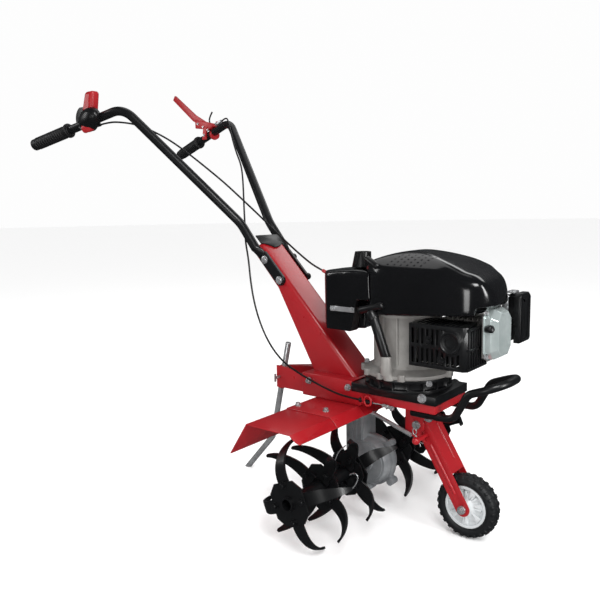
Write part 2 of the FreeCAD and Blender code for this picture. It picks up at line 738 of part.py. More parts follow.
def ring_of(points):
    """A solid of revolution about the wheel axle from (radius, y) points."""
    ax, az = value("wheel_x"), value("tyre_radius")
    wire = Part.makePolygon([Vector(0, y, r) for r, y in points] + [Vector(0, points[0][1], points[0][0])])
    solid = Part.Face(wire).revolve(Vector(), Vector(0, 1, 0), 360)
    solid.translate(Vector(ax, 0, az))
    return solid


WHEEL_RIBS = 8


def wheel():
    tyre, rim, half = value("tyre_radius"), value("rim_radius"), value("tyre_half")
    axle = value("wheel_bolt_radius") + 0.05
    hub = value("arm_half") - value("arm_sheet") - 1
    disc_shape = ring_of([
        (axle, -hub), (13, -hub), (15, -hub + 6), (24, -12), (36, -8), (43, -12), (44, -16), (rim, -16), (rim, 16),
        (44, 16), (43, 12), (36, 6), (24, 6), (15, 8), (13, hub), (axle, hub)])
    ribs = []
    for n in range(WHEEL_RIBS):
        rib = Part.makeBox(24, 7, 5, Vector(14, -14, -2.5))
        rib.rotate(Vector(), Vector(0, 1, 0), 360 * n / WHEEL_RIBS)
        rib.translate(Vector(value("wheel_x"), 0, value("tyre_radius")))
        ribs.append(rib)
    keep(feature("wheel_rim", disc_shape.fuse(ribs)), "wheel_rim")
    keep(feature("wheel_tyre", ring_of([
        (rim, -16), (rim + 5, -half), (tyre - 9, -half), (tyre - 2, -half + 5), (tyre, -6), (tyre, 6),
        (tyre - 2, half - 5), (tyre - 9, half), (rim + 5, half), (rim, 16)])), "wheel_tyre")


def bumper():
    leg = value("deck_bottom") - 9
    half = []
    for x, z in ((150, leg), (254, leg), (290, 356), (367, 385)):
        half.append(Vector(x, -60, z))
    points = half + [Vector(p.x, -p.y, p.z) for p in reversed(half)]
    keep(feature("bumper", tube_along(bent_path(points, [28, 30, 52, 52, 30, 28]), 9)), "bumper")


# ---------------------------------------------------------------- drag stake
def stake_points():
    return [Vector(value("stake_top_x"), 0, value("stake_top_z")),
            Vector(value("stake_bend_x"), 0, value("stake_bend_z")),
            Vector(value("stake_end_x"), 0, 0)]


def drag_stake():
    top, bend, end = stake_points()
    radius = value("stake_width") / 2
    solid = tube_along(bent_path([top, bend, end + (end - bend).normalize() * 30], [40]), radius)
    floor = Part.makeBox(2000, 200, 200, Vector(-1000, -100, -200))
    keep(feature("drag_stake", solid.cut(floor)), "drag_stake")
    along = (top - bend).normalize()
    foot = bend + along * ((268 - bend.z) / along.z)
    long = 60 / along.z
    sleeve = Part.makeCylinder(radius + 5, long, foot, along)
    rear, front = value("deck_rear"), value("deck_rear") + 25
    half = value("deck_half") - value("sheet") - 0.2
    low, high = 268, 338
    arms = []
    for side in (1, -1):
        ring = [Vector(front, side * half, low), Vector(rear, side * half, low), Vector(-290, side * 13, low),
                Vector(-312, side * 13, low), Vector(-312, side * 10, low), Vector(-289, side * 10, low),
                Vector(rear + 1, side * (half - 3), low), Vector(front, side * (half - 3), low)]
        arm = Part.Face(Part.makePolygon(ring + ring[:1])).extrude(Vector(0, 0, high - low))
        arms.append(arm)
    trim = [Vector(front, 0, high), Vector(rear, 0, high), Vector(-290, 0, 331), Vector(-312, 0, 331),
            Vector(-318, 0, 270), Vector(-290, 0, 270), Vector(-220, 0, 282), Vector(rear, 0, 292),
            Vector(front, 0, 292)]
    side_view = Part.Face(Part.makePolygon(trim + trim[:1])).extrude(Vector(0, 300, 0))
    side_view.translate(Vector(0, -150, 0))
    solid = arms[0].common(side_view).fuse([arms[1].common(side_view), sleeve])
    solid = solid.cut(Part.makeCylinder(radius + 0.08, 400, foot - along * 100, along))
    keep(feature("stake_bracket", solid.removeSplitter()), "stake_bracket")


# ---------------------------------------------------------------- engine
def about_crank(shape):
    """Moves a piece drawn about the origin onto the crankshaft's line."""
    shape.translate(Vector(value("engine_x"), 0, 0))
    return shape


def turned(profile):
    """A solid of revolution about Z from (radius, z) points."""
    wire = Part.makePolygon([Vector(r, 0, z) for r, z in profile + profile[:1]])
    return Part.Face(wire).revolve(Vector(), Vector(0, 0, 1), 360)


def disc(radius, low, high, x=0.0, y=0.0):
    return Part.makeCylinder(radius, high - low, Vector(x, y, low))


def engine_flange():
    """The black ribbed foot between the deck and the engine."""
    ring, low, top = value("engine_ring_radius"), value("deck_top"), value("engine_ring_bottom")
    foot = turned([(40, low), (ring - 3, low), (ring - 3, low + 6), (ring - 12, low + 8), (ring - 12, top - 8),
                   (ring - 2, top - 6), (ring - 2, top), (40, top)])
    ribs = []
    count = 18
    for n in range(count):
        rib = Part.makeBox(14, 4, top - low - 8, Vector(ring - 18, -2, low + 4))
        rib.rotate(Vector(), Vector(0, 0, 1), 360 * n / count)
        ribs.append(rib)
    keep(feature("engine_flange", about_crank(foot.fuse(ribs))), "engine_flange")


RING_LUGS = (-152, -124, -97, -68, 0, 45, 90, 135)      # where the ring's bolt lugs stand, in degrees


def crankcase():
    """The grey casting: bolted ring, round case with ribs, top plate and the boss of the dipstick."""
    ring, low, top = value("engine_ring_radius"), value("engine_ring_bottom"), value("engine_ring_top")
    case, lid = value("case_radius"), value("case_top")
    body = turned([(0, low), (ring - 4, low), (ring, low + 3), (ring, top - 3), (ring - 6, top), (case + 6, top + 8),
                   (case, top + 20), (case, lid), (case + 12, lid), (case + 12, value("hood_bottom - seat")),
                   (0, value("hood_bottom - seat"))])
    extras = []
    for angle in RING_LUGS:
        lug = disc(9, low, top + 2, ring - 3, 0)
        lug.rotate(Vector(), Vector(0, 0, 1), angle)
        extras.append(lug)
    for angle in (-160, -135, -104, -78, -50):
        rib = Part.makeBox(8, 5, lid - top, Vector(case - 4, -2.5, top))
        rib.rotate(Vector(), Vector(0, 0, 1), angle)
        extras.append(rib)
    body = about_crank(body.fuse(extras))
    back = value("seat") - 28
    body = body.fuse(Part.makeBox(60, 46 - back, 96, Vector(value("engine_x") + 40, back, 404)))
    foot, way = dipstick_line()
    boss = Part.makeCylinder(12, 50, foot - way * 46, way)
    boss = boss.common(Part.makeBox(100, 100, 60, Vector(60, -150, low)))
    keep(feature("crankcase", body.fuse(boss)), "crankcase")


def cylinder_block():
    """The finned cylinder, level ahead of the crankcase, and the head that it ends in."""
    start, head = value("engine_x") + 100.2, 298
    core = Part.makeBox(head - start, 66, 80, Vector(start, -22, 434))
    fins = []
    for n in range(7):
        fins.append(Part.makeBox(3, 84, 92, Vector(start + 14 + 12 * n, -24, 426)))
    block = Part.makeBox(20, 53, 92, Vector(head, -24, 426))
    front = Part.makeBox(8.7, 87, 92, Vector(head + 20, -58, 440))
    keep(feature("cylinder_block", core.fuse(fins + [block, front])), "cylinder_block")


def octagon(mid_y, mid_z, wide, high, cut_off):
    ring = []
    for u, v in ((1, 1), (-1, 1), (-1, -1), (1, -1)):
        pair = [(mid_y + u * wide, mid_z + v * (high - cut_off)), (mid_y + u * (wide - cut_off), mid_z + v * high)]
        ring += pair if u == v else pair[::-1]
    return ring


def valve_cover():
    """The bright pressed cover on the cylinder head: a flange and an eight-sided dome with sloping sides."""
    base = 327
    mid_y, mid_z = -30, 493
    flange = prism("front", octagon(mid_y, mid_z, 44, 58, 20), base, base + 3)

    def ring(wide, high, cut_off, x):
        points = [Vector(x, y, z) for y, z in octagon(mid_y, mid_z, wide, high, cut_off)]
        return Part.makePolygon(points + points[:1])

    dome = Part.makeLoft([ring(40, 54, 18, base + 2), ring(40, 54, 18, base + 16), ring(34, 46, 16, base + 31)],
                         True, True)
    keep(feature("valve_cover", flange.fuse(dome)), "valve_cover")


GUARD_BACK = -28                 # the guard's wall beside the cylinder




def muffler():
    """The muffler inside its slotted guard, with the outlet that shows through the guard's ring."""
    low, top = value("guard_box_bottom") + 10, value("guard_box_top") - 10
    back = GUARD_BACK - 2.5 - value("seat")
    body = prism("top", [(186, -100), (292, -100), (284, back), (196, back), (186, back - 10)], low, top)
    pipe = rod(Vector(274, -98, 478), Vector(274, -118, 478), 13).cut(
        rod(Vector(274, -96, 478), Vector(274, -120, 478), 10.5))
    keep(feature("muffler", body.fuse(pipe)), "muffler")


def muffler_guard():
    """A thin black box with two rows of upright slots, slots in its lid, and a ring round the outlet."""
    low, top = value("guard_box_bottom"), value("guard_box_top")
    wall = 2.5
    shell = prism("top", [(174, -115), (303, -115), (311, -107), (294, GUARD_BACK), (192, GUARD_BACK), (174, -46)],
                  low, top)
    hollow = prism("top", [(174 + wall, -115 + wall), (302, -115 + wall), (311 - wall - 0.4, -106),
                           (294 - wall, GUARD_BACK - wall), (193, GUARD_BACK - wall), (174 + wall, -47)],
                   low + wall, top - wall)
    shell = shell.cut(hollow)
    slots = []
    rows = ((low + 8, low + 42), (low + 51, top - 9))
    for z_low, z_high in rows:
        for n in range(10):
            slots.append(Part.makeBox(6, 10, z_high - z_low, Vector(180 + 12 * n, -120, z_low)))
        for n in range(5):
            slots.append(Part.makeBox(30, 7, z_high - z_low, Vector(285, -98 + 13 * n, z_low)))
            slots.append(Part.makeBox(20, 7, z_high - z_low, Vector(165, -98 + 13 * n, z_low)))
    for n in range(9):
        for z in (low - 5, top - 5):
            slots.append(Part.makeBox(6, 62, 10, Vector(184 + 12 * n, -104, z)))
    outlet = Vector(274, -119, 478)
    back = Vector(274, -115 + wall, 478)
    plate = rod(Vector(274, -115, 478), back, 30)
    ring = rod(outlet, back, 24).fuse(plate)
    screws = [rod(Vector(x, -115.5, z), Vector(x, -115 + wall, z), 8) for x, z in ((222, 480), (250, 438))]
    shell = shell.cut(slots).fuse([ring] + screws).cut(rod(Vector(274, -125, 478), Vector(274, -100, 478), 19))
    keep(feature("muffler_guard", shell), "muffler_guard")


CAP_SPOT = (0, -42)              # the middle of the fuel cap
LID_PAST = 6                     # how far the lid's arc runs on past the hood's side walls


def engine_shroud():
    """The blower hood: upright sides and a domed lid that falls away towards the nose."""
    crank, half, front = value("engine_x"), value("hood_half"), value("hood_front")
    base, top = value("hood_bottom"), value("hood_top")
    wall = top - 48
    notch = value("hood_notch")
    plan = prism("top", [
        (crank, -half), (292, -half), (front - 12, -half + 24, "arc"), (front, -52), (front, -6),
        (front - 12, 26, "arc"), (310, 50), (270, half), (crank, half), (crank - half, 0, "arc"),
    ], base, top + 5)
    side = prism("side", [
        (-20, base), (-20, wall), (27, 631), (86, top - 11, "arc"), (150, top - 2), (225, top - 18, "arc"),
        (288, 624), (331, 605, "arc"), (front, 566), (front, notch), (318, notch), (318, base + 16), (110, base),
    ], -150, 150)
    edge = half + LID_PAST
    section = [(-edge, base - 30), (-edge, wall - 4), (0, top + 1, "arc"), (edge, wall - 4), (edge, base - 30)]
    level = prism("front", section, -60, 240)
    slope = prism("front", section, 240, 241)
    face = [f for f in slope.Faces if abs(f.CenterOfMass.x - 240) < 0.01][0]
    lid = level.fuse(face.extrude(Vector(160, 0, -56)))
    cap_x, cap_y = CAP_SPOT
    hood = plan.common(side).common(lid).cut(disc(24, value("tank_top") - 4, top + 10, cap_x, cap_y))
    keep(feature("engine_shroud", hood.removeSplitter()), "engine_shroud")


def fuel_tank():
    """The tank that wraps round the rear of the hood, hollowed to clear it by a small gap."""
    crank, rear = value("engine_x"), value("tank_rear")
    low, step, top = value("tank_bottom"), value("tank_step"), value("tank_top")
    half = value("hood_half") - 6
    plan = prism("top", [
        (rear, -20), (rear + 23, -57, "arc"), (rear + 50, -88), (crank - 10, -half), (crank - 10, half),
        (rear + 50, 88), (rear + 23, 57, "arc"), (rear, 20),
    ], low, top)
    side = prism("side", [
        (rear, low + 26), (rear + 8, low + 8, "arc"), (rear + 28, low), (20, low), (20, step), (crank, step),
        (crank, top), (0, top), (rear + 22, top - 10), (rear + 5, top - 16, "arc"), (rear, top - 32),
    ], -150, 150)
    tank = plan.common(side)
    clear = disc(value("hood_half") + value("seat"), low - 5, top + 5, crank)
    tank = tank.cut(clear)
    tank = round_edges(tank, 10, top_edge)
    neck = disc(17, top - 3, top + 1, *CAP_SPOT)
    keep(feature("fuel_tank", tank.fuse(neck)), "fuel_tank")


def top_edge(edge):
    """Whether an edge runs along the upper rim of the tank's outer wall."""
    ends = [v.Point for v in edge.Vertexes]
    high = min(p.z for p in ends) > value("tank_top") - 0.01
    return high and len(ends) == 2 and max(abs(p.y) for p in ends) > 80 and abs(ends[0].x - ends[1].x) > 20


def fuel_cap():
    """The screwed cap on the tank's neck."""
    low = value("tank_top") + 1 + value("seat")
    cap = Part.makeCylinder(21.5, 38, Vector(*CAP_SPOT, low))
    keep(feature("fuel_cap", round_edges(cap, 4, lambda e: e.BoundBox.ZMin > low + 37)), "fuel_cap")


def air_filter():
    """The air filter's box: a flat lower body, a taller housing and its front plate."""
    body = prism("side", [(300, 464), (342, 464), (342, 510), (300, 510)], 29.3, 80)
    housing = prism("front", [(34, 516), (82, 516), (82, 562), (74, 570), (42, 570), (34, 562)], 338, 352)
    link = Part.makeBox(14, 40, 20, Vector(338, 38, 500))
    plate = prism("front", [(30, 462), (84, 462), (88, 470), (88, 564), (80, 572), (38, 572), (30, 564)], 352, 368)
    plate = round_edges(plate, 4, lambda e: e.BoundBox.XMin > 367.9)
    keep(feature("air_filter", body.fuse([housing, link, plate])), "air_filter")


def dipstick_line():
    """Where the filler tube leaves its boss and which way it runs."""
    foot, end = Vector(106, -106, 404), Vector(71, -117, 528)
    return foot, (end - foot).normalize()


def dipstick():
    """The oil filler tube with its flared mouth and T-shaped handle."""
    foot, way = dipstick_line()
    start = foot + way * (4 + value("seat"))
    stem = rod(start, foot + way * 60, 9)
    stem = stem.fuse([rod(foot + way * 58, foot + way * 96, 9, 13), rod(foot + way * 95, foot + way * 122, 13),
                      rod(foot + way * 120, foot + way * 130, 9)])
    grip = rod(Vector(43, -134, 536), Vector(79, -112, 542), 7.5)
    stem = stem.fuse([grip, rod(foot + way * 126, Vector(61, -123, 539), 8)])
    stem = stem.cut(about_crank(disc(value("hood_half") + 1, value("hood_bottom") - 14, 700)))
    keep(feature("dipstick", stem), "dipstick")


def engine():
    engine_flange()
    crankcase()
    cylinder_block()
    valve_cover()
    muffler()
    muffler_guard()
    engine_shroud()
    fuel_tank()
    fuel_cap()
    air_filter()
    dipstick()


# ---------------------------------------------------------------- controls and cables
CABLE = 2.5

THROTTLE = [(-771, -225, 1010), (-740, -216, 1015), (-706, -204, 1013), (-671, -178, 1006), (-637, -156, 990),
            (-592, -124, 960), (-545, -95, 919), (-497, -74, 878), (-447, -56, 836), (-396, -38, 788),
            (-348, -22, 743), (-300, -12, 700), (-252, -5, 661), (-208, -2, 630), (-172, -8, 613),
            (-139, -16, 604)]

CLUTCH = [(-745, 221, 1058), (-705, 205, 1068), (-664, 176, 1042), (-629, 154, 989), (-590, 131, 942),
          (-551, 112, 900), (-520, 86, 860), (-485, 52, 812), (-448, 15, 767), (-410, -22, 724),
          (-379, -54, 679), (-350, -73, 632), (-336, -82, 575), (-322, -86, 520)]

CLUTCH_LOW = [(-300, 11, 463), (-266, 13, 410), (-222, 15, 371), (-170, 16, 348), (-112, 17, 330), (-62, 16, 316),
              (-18, 15, 308), (28, 13, 307)]     # the rest of it: ahead, out from the deck's side, and up


def cable(label, route, radius):
    """A cable along a hand-picked route: each arc is as large as its two runs allow."""
    points = [Vector(*p) for p in route]
    radii = []
    for k in range(1, len(points) - 1):
        back = points[k - 1] - points[k]
        on = points[k + 1] - points[k]
        turn = math.pi - back.getAngle(on)
        radii.append(0.45 * min(back.Length, on.Length) / math.tan(turn / 2))
    wire = bent_path(points, radii)
    tube = tube_along(wire, radius)
    true = math.pi * radius ** 2 * wire.Length
    print(f"{label}: length {wire.Length:.1f}, least radius {min(radii):.1f}, "
          f"volume share {tube.Volume / true:.4f}")
    keep(feature(label, tube), label)
    return points


def beyond(start, towards, radius, long):
    """A round piece whose face meets a cable's end, pointing on from it."""
    along = (start - towards).normalize()
    return Part.makeCylinder(radius, long, start, along)


def controls():
    left = bent_path(handle_points(), HANDLE_BENDS)
    tube = tube_along(left, value("handle_radius") + 0.1)
    right_tube = tube.mirror(Vector(), Vector(0, 1, 0))
    throttle = cable("throttle_cable", THROTTLE, CABLE)
    lower = [(x, -value("deck_half") - out, z) for x, out, z in CLUTCH_LOW]
    clutch = cable("clutch_cable", CLUTCH + lower, CABLE)

    drum = Part.makeCylinder(33, 34, Vector(-821, -251, 1030), Vector(0, 1, 0))
    rim = Part.makeCylinder(26, 44, Vector(-821, -256, 1030), Vector(0, 1, 0))
    spout = Part.makeCylinder(9, 34, throttle[0] - Vector(38, 6, -6), Vector(1, 0, 0))
    outlet = beyond(throttle[0], throttle[1], 4.5, 14)
    paddle = prism("side", [(-800, 1050), (-780, 1050), (-771, 1088), (-779, 1100, "arc"), (-801, 1098)],
                   -248, -226)
    body = drum.fuse([rim, spout, paddle, outlet]).cut(right_tube)
    keep(feature("throttle_control", body), "throttle_control")
    gland = beyond(throttle[-1], throttle[-2], 4.5, 30)
    tank_rear = Part.makeBox(200, 400, 400, Vector(value("tank_rear"), -200, 400))
    keep(feature("throttle_gland", gland.cut(tank_rear)), "throttle_gland")

    along = Vector(353, -79, 83).normalize()
    clamp = Part.makeCylinder(20, 44, Vector(-810, 232, 1022), along)
    plate = Part.Face(Part.makePolygon([
        Vector(-806, 0, 1030), Vector(-776, 0, 1036), Vector(-880, 0, 1092), Vector(-982, 0, 1168),
        Vector(-992, 0, 1154), Vector(-890, 0, 1072), Vector(-806, 0, 1030)])).extrude(Vector(0, 8, 0))
    plate.translate(Vector(0, 224, 0))
    screw = beyond(clutch[0], clutch[1], 5, 30)
    tab = Part.makeBox(8, 12, 26, Vector(-772, 220, 1034), Vector(0, 0, 1))
    keep(feature("clutch_lever", clamp.fuse([plate, screw, tab]).cut(tube)), "clutch_lever")

    end = clutch[-1]
    side = value("deck_half + seat")
    ferrule = beyond(end, clutch[-2], 5, 14)
    near = min(-side - 3, end.y - 5)
    bracket = Part.makeBox(4, -side - near, 16, Vector(end.x + 5, near, end.z - 5))
    keep(feature("cable_clip", ferrule.fuse(bracket)), "cable_clip")


tine_reels()
tine_shaft()
gearbox()
deck_frame()
cover_plate()
handle_column()
guards()
handles()
handle_bolts()
handle_crosspiece()
wheel_bracket()
wheel_arm()
wheel()
bumper()
drag_stake()
engine()
controls()
doc.recompute()

# ---------------------------------------------------------------- check and write
for item in doc.Objects:
    if "Invalid" in item.State or "Error" in item.State:
        raise RuntimeError(f"{item.Name}: {item.State}")
whole = parts[0].Shape.optimalBoundingBox(False, False)
for item in parts:
    shape = item.Shape
    if shape.isNull() or not shape.isValid() or not shape.Solids:
        raise RuntimeError(f"{item.Label}: bad shape")
    whole.add(shape.optimalBoundingBox(False, False))
shift = -(whole.XMin + whole.XMax) / 2
os.makedirs("parts", exist_ok=True)
for item in parts:
    shape = item.Shape.copy()
    shape.translate(Vector(shift, 0, 0))
    shape.exportStep(f"parts/{item.Label}.step")
    box_now = shape.optimalBoundingBox(False, False)
    print(f"{item.Label:22s} solids {len(shape.Solids)} volume {shape.Volume / 1000:9.1f} cm3  "
          f"x {box_now.XMin:7.1f} {box_now.XMax:7.1f} y {box_now.YMin:7.1f} {box_now.YMax:7.1f} "
          f"z {box_now.ZMin:7.1f} {box_now.ZMax:7.1f}")
print("shift", round(shift, 3), "parts", len(parts))
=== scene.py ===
# %% [markdown]
# # Front-tine tiller: the looks
# The machine's frame, engine blocks and joints come from the CAD model. This lesson dresses them: it sets up
# a small studio, gives every surface its finish, and models the small parts that the CAD leaves out.
# Everything is in metres in the CAD's own frame: +X forward, +Y to the machine's left, +Z up.

import json
import math

import bmesh
import bpy
from mathutils import Euler, Matrix, Vector


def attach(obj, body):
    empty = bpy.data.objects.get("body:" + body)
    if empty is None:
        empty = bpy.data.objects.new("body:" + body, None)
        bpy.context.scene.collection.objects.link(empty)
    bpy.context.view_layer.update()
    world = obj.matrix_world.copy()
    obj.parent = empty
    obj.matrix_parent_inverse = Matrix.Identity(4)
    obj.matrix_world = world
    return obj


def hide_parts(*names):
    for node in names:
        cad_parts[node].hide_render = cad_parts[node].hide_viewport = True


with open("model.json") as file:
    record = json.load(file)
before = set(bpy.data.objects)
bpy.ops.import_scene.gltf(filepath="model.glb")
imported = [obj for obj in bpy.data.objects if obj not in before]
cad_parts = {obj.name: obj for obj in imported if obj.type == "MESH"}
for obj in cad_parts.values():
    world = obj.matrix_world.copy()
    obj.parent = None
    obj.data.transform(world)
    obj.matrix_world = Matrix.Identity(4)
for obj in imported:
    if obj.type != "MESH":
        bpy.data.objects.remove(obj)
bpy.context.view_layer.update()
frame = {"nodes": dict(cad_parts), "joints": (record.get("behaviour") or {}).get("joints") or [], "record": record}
node = frame["nodes"]
joint = {j["name"]: j for j in frame["joints"]}
AXLE_X = joint["tine_spin"]["pos_m"][0]
print("nodes", len(node), "tine axle at x", round(AXLE_X, 4))

# %% [markdown]
# Sizes on a machine drawing are read from one datum. Here the datum is the tine axle, on the mid-plane, at
# ground level, and sizes are in millimetres. One helper turns such a place into a point in metres.


# %% Places on the machine
def place(x, y, z):
    """A point in metres from millimetres ahead of the tine axle, to the left and above the ground."""
    return Vector((x / 1000 + AXLE_X, y / 1000, z / 1000))


print("tine axle", place(0, 0, 127))

# %% [markdown]
# ## The camera
# The machine is seen from its right front, a little above the engine, through a normal lens. An object can
# be aimed with a Track To constraint or by its angles. Angles are used here, because the view also leans by
# a degree, and a lean has no target to point at.

# %% Camera
TILT, TURN, LEAN = 7.32, 38.36, -0.93       # degrees: down, round the machine, and about the line of sight
camera_data = bpy.data.cameras.new("camera")
camera_data.sensor_width = 36.0
camera_data.lens = 39.32
camera_data.shift_x = -0.032
camera_data.shift_y = -0.0103
camera_data.clip_end = 100.0
camera = bpy.data.objects.new("camera", camera_data)
bpy.context.scene.collection.objects.link(camera)
camera.location = place(897.6, -1343.6, 760.2)
aim = Euler((math.radians(90 - TILT), 0.0, math.radians(TURN)))
aim.rotate_axis("Z", math.radians(LEAN))
camera.rotation_euler = aim
bpy.context.scene.camera = camera
print("camera at", [round(v, 3) for v in camera.location])

# %% [markdown]
# ## The control cables
# Two black cables run from the handlebars: the throttle cable to the engine's rear, and the clutch cable,
# which hangs in a long bow beside the column and ends at a clip under the deck. A cable could be a swept
# tube or a row of bones, but a NURBS curve with a round bevel is one smooth line through a few control
# points, and it can be redrawn by moving one of them. The bevel is one metre deep and each point's radius
# brings it down to the cable's own, because a curve's box is measured with the points' radii.

# %% Cable routes
THROTTLE = [(-771, -225, 1010), (-740, -216, 1015), (-706, -204, 1013), (-671, -178, 1006), (-637, -156, 990),
            (-592, -124, 960), (-545, -95, 919), (-497, -74, 878), (-447, -56, 836), (-396, -38, 788),
            (-348, -22, 743), (-300, -12, 700), (-252, -5, 661), (-208, -2, 630), (-172, -8, 613),
            (-139, -16, 604)]
CLUTCH = [(-745, 221, 1058), (-705, 205, 1068), (-664, 176, 1042), (-629, 154, 989), (-590, 131, 942),
          (-551, 112, 900), (-520, 86, 860), (-485, 52, 812), (-448, 15, 767), (-410, -22, 724),
          (-379, -54, 679), (-350, -73, 632), (-336, -82, 575), (-322, -86, 520), (-300, -88, 463),
          (-266, -90, 410), (-222, -92, 371), (-170, -93, 348), (-112, -94, 330), (-62, -93, 316),
          (-18, -92, 308), (28, -90, 307)]
CABLE_THICK = 0.005


def cable(name, route):
    """A round cable as one smooth spline with the route's points as its control points."""
    curve = bpy.data.curves.new(name, "CURVE")
    curve.dimensions = "3D"
    curve.bevel_depth = 1.0
    curve.bevel_resolution = 5
    curve.resolution_u = 10
    curve.use_fill_caps = True
    spline = curve.splines.new("NURBS")
    spline.points.add(len(route) - 1)
    for point, spot in zip(spline.points, route):
        point.co = (*place(*spot), 1.0)
        point.radius = CABLE_THICK / 2
    spline.order_u = 3
    spline.use_endpoint_u = True
    piece = bpy.data.objects.new(name.replace("cable", "cord"), curve)
    bpy.context.scene.collection.objects.link(piece)
    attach(piece, "frame")
    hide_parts(name)
    print(name, "has", len(route), "control points")
    return piece


throttle_cable = cable("throttle_cable", THROTTLE)
clutch_cable = cable("clutch_cable", CLUTCH)

# %% [markdown]
# ## Finishes
# A finish is more than a colour: paint has a faint unevenness and a thin clear skin, cast metal has a grain,
# moulded plastic a fine stipple. Each could be an image texture, but a texture of nodes needs no file and
# has no seams. One recipe serves them all: a slow noise varies the colour, a quicker one varies how
# rough the surface is, and a fine one raises its grain. All three read Object coordinates, so they are in
# metres and stay where they are when a body moves.

# %% One recipe for a finish
FINISH = {}


def finish(slot, colour, other, rough, metal=0.0, coat=0.0, mottle=9.0, grain=900.0, lift=0.04, uneven=0.06):
    """A material for one slot: two colours that mix slowly, an uneven roughness and a raised grain."""
    material = bpy.data.materials.new(slot)
    material.use_nodes = True
    nodes, links = material.node_tree.nodes, material.node_tree.links
    shader = nodes["Principled BSDF"]
    shader.inputs["Metallic"].default_value = metal
    shader.inputs["Coat Weight"].default_value = coat
    shader.inputs["Coat Roughness"].default_value = 0.12
    where = nodes.new("ShaderNodeTexCoord")

    def noise(scale, detail):
        texture = nodes.new("ShaderNodeTexNoise")
        texture.inputs["Scale"].default_value = scale
        texture.inputs["Detail"].default_value = detail
        links.new(where.outputs["Object"], texture.inputs["Vector"])
        return texture

    ramp = nodes.new("ShaderNodeValToRGB")
    ramp.color_ramp.elements[0].position = 0.3
    ramp.color_ramp.elements[0].color = (*other, 1.0)
    ramp.color_ramp.elements[1].position = 0.7
    ramp.color_ramp.elements[1].color = (*colour, 1.0)
    links.new(noise(mottle, 4.0).outputs["Fac"], ramp.inputs["Fac"])
    links.new(ramp.outputs["Color"], shader.inputs["Base Color"])
    spread = nodes.new("ShaderNodeMapRange")
    spread.inputs["To Min"].default_value = rough - uneven
    spread.inputs["To Max"].default_value = rough + uneven
    links.new(noise(mottle * 6, 5.0).outputs["Fac"], spread.inputs["Value"])
    links.new(spread.outputs["Result"], shader.inputs["Roughness"])
    bump = nodes.new("ShaderNodeBump")
    bump.inputs["Strength"].default_value = lift
    bump.inputs["Distance"].default_value = 0.001
    links.new(noise(grain, 3.0).outputs["Fac"], bump.inputs["Height"])
    links.new(bump.outputs["Normal"], shader.inputs["Normal"])
    FINISH[slot] = material
    return material


print("recipe ready")

# %% [markdown]
# The sheet steel is red powder paint, bright and fairly glossy. Tines, bumper, handles and the plate under
# the engine have black paint, a little duller. Small parts are plated with zinc, which is a rough mirror.

# %% Paint and plating
finish("red_paint", (0.31, 0.007, 0.011), (0.26, 0.005, 0.009), 0.30,
       coat=0.35, mottle=6.0, grain=420.0, lift=0.05)
finish("black_paint", (0.0045, 0.0048, 0.0055), (0.0028, 0.0030, 0.0035), 0.34,
       coat=0.1, grain=700.0, lift=0.06)
finish("zinc", (0.54, 0.55, 0.56), (0.35, 0.35, 0.36), 0.22,
       metal=0.72, mottle=60.0, grain=1500.0, lift=0.03)
finish("chrome_cover", (0.62, 0.69, 0.68), (0.46, 0.53, 0.52), 0.16,
       metal=0.65, mottle=25.0, grain=900.0, lift=0.03)
print("finishes", len(FINISH))

# %% [markdown]
# The gearbox and the engine's case are cast aluminium: grey, dull, with a grain that can be felt. Covers and
# tank are moulded black plastic, the hood the glossiest of them, which takes a coat to catch the lights.

# %% Castings and mouldings
finish("cast_grey", (0.28, 0.29, 0.30), (0.18, 0.19, 0.20), 0.38,
       metal=0.35, mottle=30.0, grain=650.0, lift=0.16)
finish("engine_case", (0.29, 0.28, 0.265), (0.22, 0.21, 0.20), 0.50,
       metal=0.4, mottle=26.0, grain=600.0, lift=0.2)
finish("black_plastic", (0.0045, 0.0046, 0.0052), (0.0030, 0.0031, 0.0035), 0.32,
       grain=1400.0, lift=0.06)
finish("gloss_black", (0.0030, 0.0031, 0.0036), (0.0020, 0.0021, 0.0025), 0.17,
       coat=0.3, grain=500.0, lift=0.012, uneven=0.03)
finish("red_plastic", (0.31, 0.007, 0.010), (0.26, 0.005, 0.008), 0.33,
       grain=900.0, lift=0.04)
finish("white_plastic", (0.52, 0.54, 0.55), (0.46, 0.48, 0.49), 0.36,
       mottle=20.0, grain=800.0, lift=0.04)
print("finishes", len(FINISH))

# %% [markdown]
# Rubber is the roughest black: a tyre has a dusty bloom, a grip a soft sheen, a cable's sheath is smooth.

# %% Rubbers
finish("tyre", (0.0075, 0.0085, 0.0100), (0.0045, 0.0050, 0.0060), 0.55,
       mottle=14.0, grain=1100.0, lift=0.2)
finish("grip_rubber", (0.0060, 0.0062, 0.0068), (0.0040, 0.0041, 0.0045), 0.46,
       grain=1300.0, lift=0.14)
finish("cable_black", (0.0060, 0.0060, 0.0066), (0.0040, 0.0040, 0.0045), 0.32,
       mottle=40.0, grain=2000.0, lift=0.05)
print("finishes", len(FINISH))

# %% [markdown]
# Each CAD block takes the finish of its own slot from the record. Its mesh isn't touched.

# %% Dress the CAD blocks
for part in frame["record"]["subparts"]:
    solid = node[part["node"]]
    solid.data.materials.clear()
    solid.data.materials.append(FINISH[part["material_slot"]])
print("blocks dressed", len(node))

# %% [markdown]
# The cables were drawn before any finish was mixed, so they get their black sheath now.

# %% Sheath of the cables
for line in (throttle_cable, clutch_cable):
    line.data.materials.append(FINISH["cable_black"])
print("cables sheathed")

# %% [markdown]
# ## Working by hand, in code
# The same few moves make most pieces: add a primitive where it belongs, open it in edit mode, pick faces by
# their place or their direction, and inset, extrude or bevel them. These helpers name those moves. Sizes are
# in millimetres, and the finished piece's object is left at the origin with its place in its mesh.

